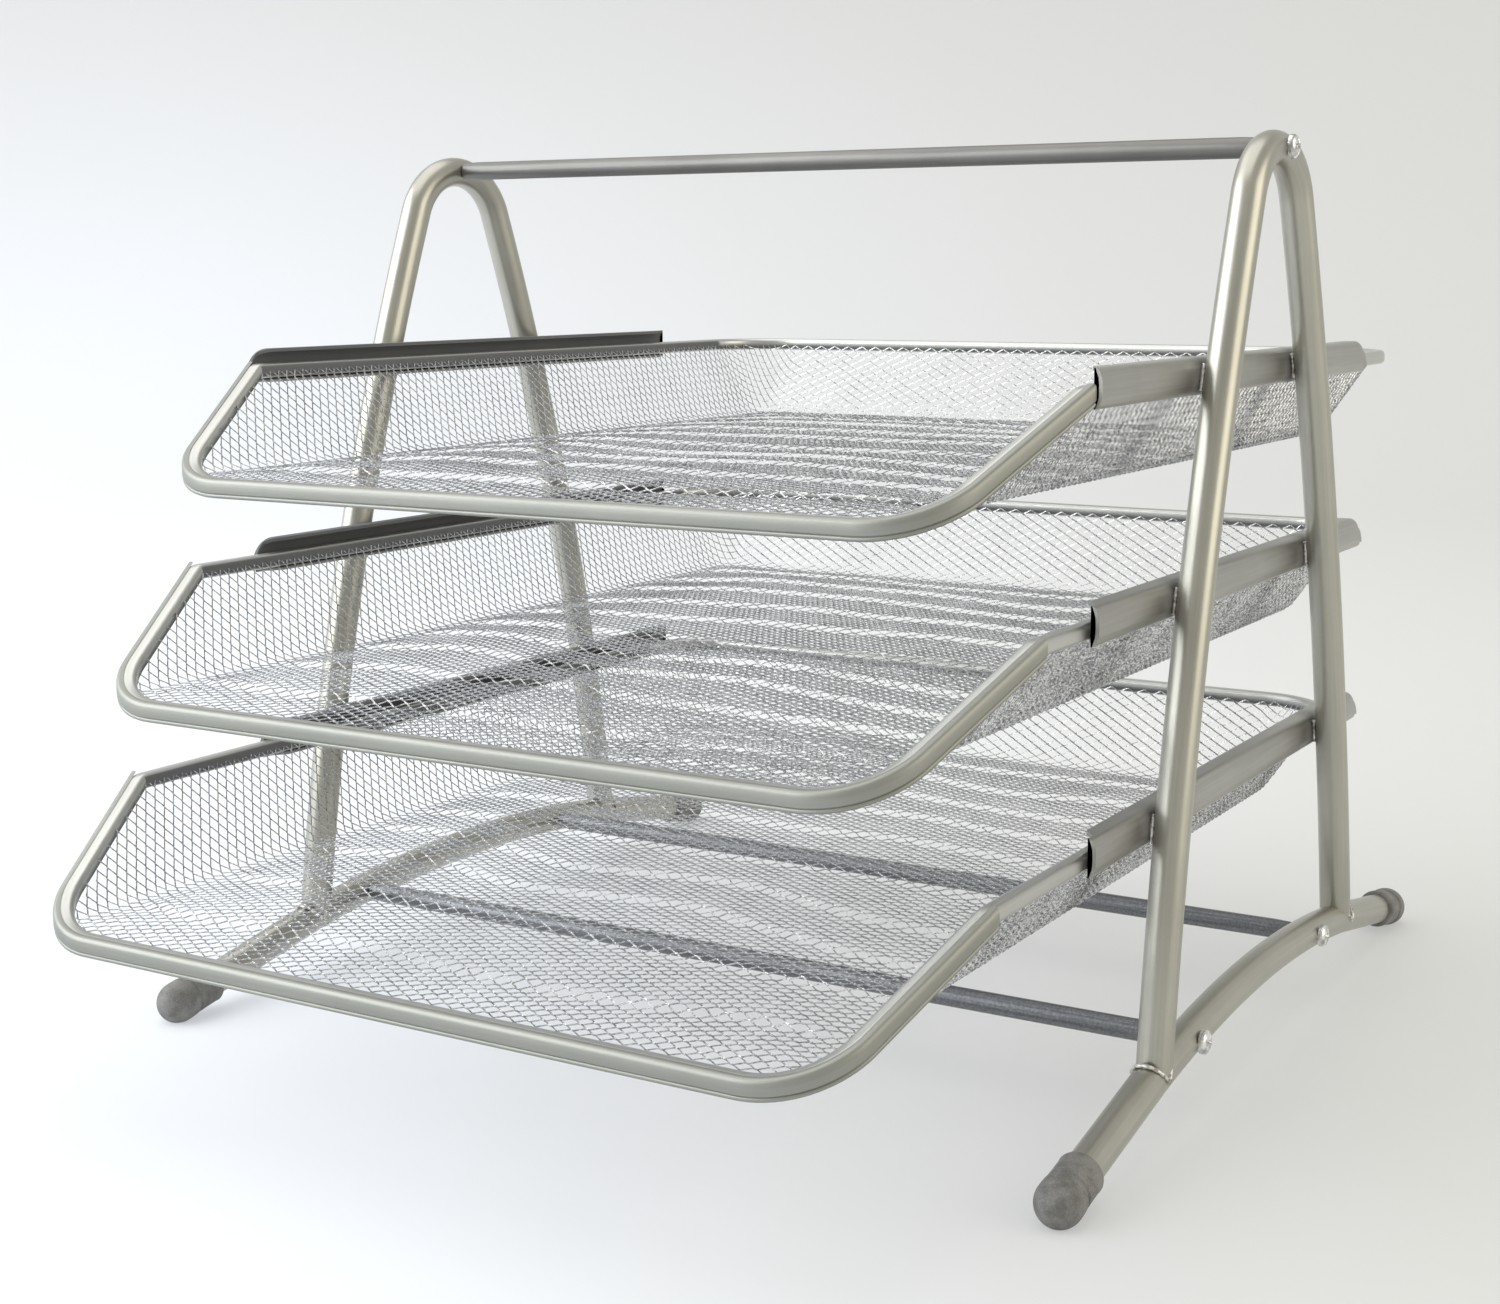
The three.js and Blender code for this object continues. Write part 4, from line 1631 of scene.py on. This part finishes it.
@dataclass
class ExpandedNet:
    """Expanded metal: strands that rise from knuckle to knuckle, folded up at the walls."""

    plan: TrayPlan
    cell_length: float = 6.38 * MM
    cell_height: float = 3.62 * MM
    strand_radius: float = 0.26 * MM
    strand_flatness: float = 0.72
    strand_rise: float = 0.42 * MM
    strand_overlap: float = 0.35 * MM
    knuckle_length: float = 0.95 * MM
    knuckle_depth: float = 0.45 * MM
    knuckle_thickness: float = 0.28 * MM
    fold_radius: float = 7.3 * MM
    fold_softness: float = 2.4 * MM
    ripple: float = 0.6 * MM
    crease: float = 1.5 * MM
    crease_pitch: float = 30.0 * MM
    crown: float = 2.0 * MM
    split: float = 1.5 * MM
    tooth: float = 0.7 * MM
    rim_overlap: float = 1.0 * MM

    def build(self, tier: Tier, tree: bpy.types.NodeTree, paints: Paintbox) -> None:
        """Makes the floor and wall nets of a tray.

        Args:
            tier: The tray's level.
            tree: The tree that grows a net.
            paints: The finishes.
        """
        body = f"tray_{tier.value}"
        limits = {"floor": (-1.0, self.split), "wall": (self.split, self.wall_length)}
        for part, (inner, outer) in limits.items():
            values = self._values(tier, paints.strand)
            values.update({"Inner Limit": inner, "Outer Limit": outer})
            seed = bpy.data.meshes.new(f"{part}_seed")
            net = grown(f"{part}_net_{tier.value}", seed, tree, values, False)
            settle(net, body, "mesh_paint", f"{body}_{part}_mesh")

    @property
    def wall_rise(self) -> float:
        """How far the net climbs from the floor to the rim's inner face."""
        return self.plan.rim_z + self.plan.floor_drop + self.plan.sheet / 2 - self.rim_overlap

    @property
    def wall_run(self) -> float:
        """How far the wall leans out on its way up to the rim's inner face."""
        return self.plan.flare - self.plan.rim_half - self.plan.gap

    @property
    def wall_length(self) -> float:
        """The wall's length along its slope."""
        return math.hypot(self.wall_rise, self.wall_run) + self.tooth

    def _values(self, tier: Tier, finish: bpy.types.Material) -> dict[str, object]:
        """The tree's inputs for one tray.

        Args:
            tier: The tray's level.
            finish: The material.

        Returns:
            The inputs by name.
        """
        plan = self.plan
        reach_x = plan.floor_x + self.wall_length + self.cell_length
        front = -plan.slope_length
        rear = plan.rear_y - plan.flare
        reach_y = rear + self.wall_length + self.cell_length - front
        half_length, half_height = self.cell_length / 2, self.cell_height / 2
        run = half_length - self.knuckle_length / 2
        climb = half_height - self.knuckle_depth
        strand = math.sqrt(run**2 + climb**2 + self.strand_rise**2)
        columns = 2 * math.ceil(reach_x / half_length)
        rows = 2 * math.ceil(reach_y / 2 / half_height)
        slope = Vector((plan.rim_x - plan.front_x, plan.slope_length, plan.rim_z - plan.front_z))
        bend = slope.angle(-X_AXIS)
        flatness = math.cos(math.atan2(slope.z, slope.y))
        knuckle_height = math.hypot(self.knuckle_depth, self.strand_rise) + self.knuckle_thickness / 2
        return {
            "Columns": columns,
            "Rows": rows,
            "Half Cell Length": half_length,
            "Half Cell Height": half_height,
            "Lattice Middle": (front + rear + self.wall_length) / 2,
            "Strand Length": strand + self.strand_overlap,
            "Strand Radius": self.strand_radius,
            "Strand Flatness": self.strand_flatness,
            "Strand Lift": math.asin(self.strand_rise / strand),
            "Strand Turn": math.atan2(climb, run),
            "Knuckle Size": Vector((self.knuckle_length, self.knuckle_thickness, knuckle_height)),
            "Knuckle Lean": math.atan2(self.knuckle_depth, self.strand_rise),
            "Floor Half Width": plan.floor_x,
            "Floor Rear": rear,
            "Floor Front": front + plan.rim_half - self.tooth,
            "Slope Length": plan.slope_length * self.wall_rise / slope.z,
            "Wall Length": self.wall_length,
            "Wall Angle": math.atan2(self.wall_rise, self.wall_run),
            "Fold Radius": self.fold_radius,
            "Fold Softness": self.fold_softness,
            "Corner X": plan.front_x - plan.front_radius / math.tan(bend / 2),
            "Corner Y": front + plan.front_radius * flatness,
            "Corner Stretch": 1 / flatness,
            "Corner Reach": plan.front_radius - plan.rim_half + self.tooth,
            "Ripple": self.ripple,
            "Crease": self.crease,
            "Crease Pitch": self.crease_pitch,
            "Crown": self.crown,
            "Inner Limit": 0.0,
            "Outer Limit": self.wall_length,
            "Place": plan.origin(tier) - Z_AXIS * (plan.floor_drop + plan.sheet / 2),
            "Finish": finish,
        }

    def tree(self, paints: Paintbox) -> bpy.types.NodeTree:
        """Makes the tree that sets out the strands, trims them and folds the sheet.

        Args:
            paints: The finishes.

        Returns:
            The tree, for the nets of all trays.
        """
        bench = NetBench("expanded_net", self._values(Tier.TOP, paints.strand))
        return bench.finished(bench.folded(bench.strands(bench.lattice())))


class NetBench(GrowthBench):
    """The steps that make a net inside its geometry tree."""

    LEAST_WALL = 0.4 * MM
    TINY = 1e-6
    RIPPLE_SCALE = 34.0
    RIPPLE_STRETCH = 0.5
    SWAY_SCALE = 9.0
    SWAY_LAYER = 3.0
    SWAY_PITCHES = 1.6
    CREASE_RISE = 0.13
    CROWN_REACH = 50.0 * MM
    EDGE_REACH = 14.0 * MM

    def lattice(self) -> Wire:
        """Points at the middle of each strand, one in each half cell, trimmed to the sheet.

        Returns:
            The points.
        """
        columns, rows = self["Columns"], self["Rows"]
        sizes = {
            "Size X": (columns - 1) * self["Half Cell Length"],
            "Size Y": (rows - 1) * self["Half Cell Height"],
            "Vertices X": columns,
            "Vertices Y": rows,
        }
        grid = self.node("GeometryNodeMeshGrid", {}, sizes)
        middle = self.vector(0.0, self["Lattice Middle"], 0.0)
        moved = self.node("GeometryNodeTransform", {}, {"Geometry": grid, "Translation": middle})
        cut = {"Geometry": moved, "Selection": self._outside()}
        return self.node("GeometryNodeDeleteGeometry", {"domain": "POINT"}, cut)

    def _reach(self, x: Wire, y: Wire) -> tuple[Wire, Wire, Wire]:
        """Distance past the fold line and the unit direction across it.

        Args:
            x: X on the flat sheet.
            y: Y on the flat sheet.

        Returns:
            The distance and the direction's two parts.
        """
        core_x = self["Floor Half Width"] - self["Fold Radius"]
        core_y = self["Floor Rear"] - self["Fold Radius"]
        across = x - x.at_most(core_x).at_least(-core_x)
        back = y - y.at_most(core_y)
        reach = (across * across + back * back).root()
        safe = reach.at_least(self.TINY)
        return reach - self["Fold Radius"], across / safe, back / safe

    def _outside(self) -> Wire:
        """1 where a strand's middle is off the sheet or in the other net.

        Returns:
            More than 0 for what is cut away.
        """
        x, y, _ = self.parts(self.node("GeometryNodeInputPosition", {}, {}))
        over, _, _ = self._reach(x, y)
        share = (1 + y / self["Slope Length"]).at_most(1.0)
        allowed = self["Wall Length"] * share
        past_wall = over.above(allowed.at_least(self.LEAST_WALL)) * over.above(0.0)
        past_front = (self["Floor Front"] - y).above(0.0)
        drawn_in = over.at_least(0.0) * (1 - self["Wall Angle"].cosine())
        aside = abs(x) - drawn_in - self["Corner X"]
        ahead = (self["Corner Y"] - y) * self["Corner Stretch"]
        corner = (aside * aside + ahead * ahead).root().above(self["Corner Reach"])
        past_corner = corner * aside.above(0.0) * ahead.above(0.0)
        too_far = over.above(self["Outer Limit"])
        too_near = 1 - over.above(self["Inner Limit"])
        return past_wall + past_front + past_corner + too_far + too_near

    def strands(self, points: Wire) -> Wire:
        """Strands turned one way and the other in turn, and a knuckle where four of them meet.

        Args:
            points: The strands' middles.

        Returns:
            The flat net.
        """
        x, y, _ = self.parts(self.node("GeometryNodeInputPosition", {}, {}))
        column = (x / self["Half Cell Length"] - 0.5).whole()
        row = ((y - self["Lattice Middle"]) / self["Half Cell Height"] - 0.5).whole()
        odd = (column + row).back_and_forth(1.0)
        way = 1 - 2 * odd
        turn = self.vector(0.0, -1 * way * self["Strand Lift"], way * self["Strand Turn"])
        strands = self.set_out(points, self._strand(), Rotation=turn)
        knuckles = self.set_out(points, self._knuckle(), Selection=odd.above(0.5))
        both = self.node("GeometryNodeJoinGeometry", {}, {"Geometry": [strands, knuckles]})
        return self.node("GeometryNodeRealizeInstances", {}, {"Geometry": both})

    def _strand(self) -> Wire:
        """A three-sided strand along X, slightly flattened.

        Returns:
            The strand.
        """
        sizes = {"Vertices": 3, "Radius": self["Strand Radius"], "Depth": self["Strand Length"]}
        prism = self.node("GeometryNodeMeshCylinder", {"fill_type": "NGON"}, sizes)
        turn = (0.0, math.pi / 2, 0.0)
        laid = self.node("GeometryNodeTransform", {}, {"Geometry": prism, "Rotation": turn})
        flat = self.vector(1.0, 1.0, self["Strand Flatness"])
        return self.node("GeometryNodeTransform", {}, {"Geometry": laid, "Scale": flat})

    def _knuckle(self) -> Wire:
        """A leaning knuckle, moved from a strand's middle to the strand's upper left end.

        Returns:
            The knuckle.
        """
        block = self.node("GeometryNodeMeshCube", {}, {"Size": self["Knuckle Size"]})
        place = self.vector(self["Half Cell Length"] * -0.5, self["Half Cell Height"] * 0.5, 0.0)
        lean = self.vector(self["Knuckle Lean"], 0.0, 0.0)
        moves = {"Geometry": block, "Translation": place, "Rotation": lean}
        return self.node("GeometryNodeTransform", {}, moves)

    def folded(self, sheet: Wire) -> Wire:
        """The flat sheet with its walls folded up and its floor slightly uneven.

        Args:
            sheet: The flat net.

        Returns:
            The net in its place.
        """
        x, y, z = self.parts(self.node("GeometryNodeInputPosition", {}, {}))
        over, ux, uy = self._reach(x, y)
        softness = self["Fold Softness"]
        soft = (over * over + softness * softness).root()
        run = (over + soft) * 0.5
        lean = (over / soft + 1) * 0.5
        angle = self["Wall Angle"]
        drawn_in = run * (1 - angle.cosine())
        turned = lean * angle
        aside = turned.sine() * z + drawn_in
        height = run * angle.sine() + turned.cosine() * z + self._unevenness(x, y) * (1 - lean)
        folded = self.vector(x - ux * aside, y - uy * aside, height)
        placed = self.node("ShaderNodeVectorMath", {"operation": "ADD"}, {0: folded, 1: self["Place"]})
        return self.node("GeometryNodeSetPosition", {}, {"Geometry": sheet, "Position": placed})

    def _unevenness(self, x: Wire, y: Wire) -> Wire:
        """Height of the floor sheet: a low crown, creases across it and soft ripples.

        Args:
            x: X on the flat sheet.
            y: Y on the flat sheet.

        Returns:
            The height.
        """
        soft = self.noise(self.vector(x * self.RIPPLE_STRETCH, y, 0.0), self.RIPPLE_SCALE, 1.0) - 0.5
        sway = self.noise(self.vector(x, y, self.SWAY_LAYER), self.SWAY_SCALE, 1.0) * self.SWAY_PITCHES
        saw = (y / self["Crease Pitch"] + sway).remainder()
        step = saw.eased(0.0, self.CREASE_RISE) - saw
        from_front = y - self["Floor Front"]
        to_rear = self["Floor Rear"] - y
        aside = self["Floor Half Width"] - abs(x)
        nearest = from_front.at_most(to_rear).at_most(aside)
        crown = nearest.eased(0.0, self.CROWN_REACH) * self["Crown"]
        waves = soft * self["Ripple"] + step * self["Crease"]
        return crown + waves * nearest.eased(0.0, self.EDGE_REACH)


@dataclass
class Tray:
    """A rim of bent bar, the folded strip round its front and its net."""

    plan: TrayPlan
    tier: Tier
    rim_round: float = 1.55 * MM
    rim_steps: int = 6
    # Painted shade on the rim's inner face beside the rails.
    side_soot: float = 0.85
    strip_sharp: float = math.radians(46)

    def build(self, paints: Paintbox) -> None:
        """Makes and dresses the rim and the strip.

        Args:
            paints: The finishes.
        """
        body = f"tray_{self.tier.value}"
        settle(self._rim(paints.rim), body, "silver_paint", f"{body}_rim")
        settle(self._strip(paints.strip), body, "silver_paint", f"{body}_front_lip")

    def _placed(self, rings: list[list[Vector]]) -> list[list[Vector]]:
        """Rings moved from the tray's own place to the stand."""
        origin = self.plan.origin(self.tier)
        return [[point + origin for point in ring] for ring in rings]

    def _rim(self, finish: bpy.types.Material) -> bpy.types.Object:
        """Makes the rim.

        Args:
            finish: The material.

        Returns:
            The rim.
        """
        half = self.plan.rim_half
        section = rounded_box(half, half, self.rim_round, self.rim_steps)
        points = self.plan.rounded(self.plan.corners(), True)
        rings = self._placed(self.plan.swept(points, section, True, False))
        knee = self.plan.knee_y(self.tier)
        side_run = self.plan.rim_x - 1.2 * half

        def soot(point: Vector, index: int) -> float:
            """Painted shade on the rim's inner side: all of it beside the rails, the lower part elsewhere.

            Args:
                point: A point of the surface.
                index: Its number in the section.

            Returns:
                The amount, from 0 to 1.
            """
            inward, downward = (-part / half for part in section[index])
            if point.y > knee and abs(point.x) > side_run:
                return max(0.0, min(self.side_soot, 4.0 * inward - 3.0))
            return max(0.0, min(1.0, 2.0 * inward - 1.2)) * max(0.0, min(1.0, 0.5 + downward))

        return Skin(f"rim_bar_{self.tier.value}", rings, closed=True, soot=soot).piece(finish)

    def _strip_section(self) -> Section:
        """The strip's section: a skin over the rim's front, a groove and a rolled hem.

        Returns:
            The section.
        """
        top = ((1.3, 2.29), (2.0, 2.32), (2.75, 2.1), (3.2, 1.65), (3.38, 1.0), (3.4, 0.2))
        groove = ((3.4, -1.55), (3.3, -1.85), (3.05, -1.98), (3.0, -2.12), (3.2, -2.3), (3.22, -2.75))
        hem = ((3.05, -3.12), (2.6, -3.3), (1.0, -3.3), (0.9, -2.9), (1.0, -2.5), (2.3, -2.5))
        inside = ((2.36, -1.4), (2.36, 0.6), (2.2, 1.45), (1.75, 2.05))
        return [(out * MM, up * MM) for out, up in top + groove + hem + inside]

    def _strip(self, finish: bpy.types.Material) -> bpy.types.Object:
        """Makes the folded strip, whose square ends meet the rails.

        Args:
            finish: The material.

        Returns:
            The strip.
        """
        front_right, knee_right, _, _, knee_left, front_left = self.plan.corners()
        corners = [knee_left, front_left, front_right, knee_right]
        points = self.plan.rounded(corners, False)
        rings = self._placed(self.plan.swept(points, self._strip_section(), False, True))
        return Skin(f"front_strip_{self.tier.value}", rings, sharp=self.strip_sharp).piece(finish)


# Stage


@dataclass
class Studio:
    """Seamless paper, soft lights and the camera at the photograph's angle."""

    middle_y: float
    camera_place: tuple[float, float, float] = (355.14, -619.16, 233.59)
    yaw: float = math.radians(30.05)
    pitch: float = math.radians(-7.25)
    roll: float = math.radians(-0.13)
    focal_pixels: float = 2189.93
    axis_pixel: tuple[float, float] = (814.09, 547.2)
    picture: tuple[int, int] = (1500, 1304)
    sensor: float = 36.0
    paper_flat: float = 1.5
    paper_curve: float = 0.9
    paper_height: float = 2.6
    paper_sides: int = 96
    curve_steps: int = 24
    centre_hole: float = 1.0 * MM
    sweep_start: float = math.radians(15)
    sweep_end: float = math.radians(215)
    clip: tuple[float, float] = (0.02, 50.0)
    aim: tuple[float, float, float] = (0.0, 0.0, 0.12)
    air: Colour = (1.0, 0.98, 0.91, 1.0)
    air_strength: float = 0.58

    def build(self) -> None:
        """Makes the camera, the paper and the lights."""
        self._camera()
        self._paper()
        self._lights()

    def _camera(self) -> None:
        """Sets the camera where the photograph was taken from."""
        flat = math.cos(self.pitch)
        forward = Vector((-math.sin(self.yaw) * flat, math.cos(self.yaw) * flat, math.sin(self.pitch)))
        level = forward.cross(Z_AXIS).normalized()
        upright = level.cross(forward)
        right = level * math.cos(self.roll) + upright * math.sin(self.roll)
        up = right.cross(forward)
        x, y, z = (value * MM for value in self.camera_place)
        data = bpy.data.cameras.new("view_camera")
        camera = bpy.data.objects.new("view_camera", data)
        bpy.context.scene.collection.objects.link(camera)
        turn = Matrix((right, up, -forward)).transposed().to_4x4()
        camera.matrix_world = Matrix.Translation((x, y + self.middle_y, z)) @ turn
        wide, high = self.picture
        data.sensor_width = self.sensor
        data.lens = self.focal_pixels * self.sensor / wide
        data.shift_x = (wide / 2 - self.axis_pixel[0]) / wide
        data.shift_y = (self.axis_pixel[1] - high / 2) / wide
        data.clip_start, data.clip_end = self.clip
        bpy.context.scene.camera = camera

    def _paper(self) -> None:
        """Makes a round sheet of paper that curves up behind the stand."""
        profile = [(self.centre_hole, 0.0), (self.paper_flat * 0.5, 0.0), (self.paper_flat, 0.0)]
        for step in range(1, self.curve_steps + 1):
            angle = math.pi / 2 * step / self.curve_steps
            radius = self.paper_flat + self.paper_curve * math.sin(angle)
            profile.append((radius, self.paper_curve * (1 - math.cos(angle))))
        profile.append((self.paper_flat + self.paper_curve, self.paper_height))
        body = bmesh.new()
        rows = []
        for radius, z in profile:
            ring = ring_about(Z_AXIS * z, X_AXIS, Y_AXIS, radius, self.paper_sides)
            rows.append([body.verts.new(point) for point in ring])
        for near, far in zip(rows, rows[1:]):
            for j, corners in enumerate(bridged(near, far)):
                turn = 2 * math.pi * (j + 0.5) / self.paper_sides
                if far[j].co.z < MM or self.sweep_start < turn < self.sweep_end:
                    body.faces.new(corners)
        body.faces.new(rows[0])
        loose = [vert for vert in body.verts if not vert.link_faces]
        bmesh.ops.delete(body, geom=loose, context="VERTS")
        mesh = closed_mesh("studio_paper", body)
        mesh.polygons.foreach_set("use_smooth", [True] * len(mesh.polygons))
        mesh.materials.append(StudioPaper("studio_paper").build())
        add_object("studio_paper", mesh)

    def _lights(self) -> None:
        """Sets a broad window light on the front left, a warm fill on the right and a weak top light."""
        self._light("window", (-1.55, -1.15, 0.95), (2.6, 1.7), 50.0, (0.93, 0.965, 1.0))
        self._light("warm_fill", (1.6, 0.15, 0.7), (1.2, 1.3), 9.0, (1.0, 0.93, 0.78))
        self._light("ceiling", (-0.6, 0.0, 2.1), (2.4, 2.4), 24.0, (1.0, 1.0, 1.0))
        world = bpy.data.worlds.new("studio_air")
        world.use_nodes = True
        background = world.node_tree.nodes["Background"]
        background.inputs["Color"].default_value = self.air
        background.inputs["Strength"].default_value = self.air_strength
        bpy.context.scene.world = world
        bpy.context.scene.view_settings.view_transform = "Standard"

    def _light(
        self,
        name: str,
        place: tuple[float, float, float],
        size: tuple[float, float],
        power: float,
        tint: tuple[float, float, float],
    ) -> None:
        """Adds one soft light that faces the stand.

        Args:
            name: Its name.
            place: Where it hangs.
            size: Its width and height.
            power: Its power in watts.
            tint: Its colour.
        """
        data = bpy.data.lights.new(name, "AREA")
        data.shape = "RECTANGLE"
        data.size, data.size_y = size
        data.energy = power
        data.color = tint
        light = bpy.data.objects.new(name, data)
        light.location = place
        towards = Vector(self.aim) - Vector(place)
        light.rotation_euler = towards.to_track_quat("-Z", "Y").to_euler()
        bpy.context.scene.collection.objects.link(light)


# Assembly


def report(piece: bpy.types.Object) -> None:
    """Writes a piece's name and size to the log."""
    LOG.info("%s: %d faces", piece.name, len(piece.data.polygons))


def settle(piece: bpy.types.Object, body: str, slot: str, *nodes: str) -> None:
    """Ties a piece to its body and hides the solids that it stands for.

    Args:
        piece: The piece.
        body: The body that carries it.
        slot: Not used.
        nodes: The solids that it replaces.
    """
    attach(piece, body)
    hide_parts(*nodes)
    report(piece)


def main() -> None:
    """Builds the whole stand in order."""
    logging.basicConfig(level=logging.INFO, format="%(name)s: %(message)s")
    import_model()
    paints = Paintbox.mixed()
    plan = FramePlan()
    Studio(plan.middle_y).build()
    for side in Side:
        SideFrame(plan, side).build(paints)
    CrossRods().build(paints)
    Rails(plan).build(paints)
    Screws().build(paints)
    Welds(plan).build(paints)
    tray_plan = TrayPlan()
    net = ExpandedNet(tray_plan)
    net_tree = net.tree(paints)
    for tier in Tier:
        Tray(tray_plan, tier).build(paints)
        net.build(tier, net_tree, paints)


if __name__ == "__main__":
    main()
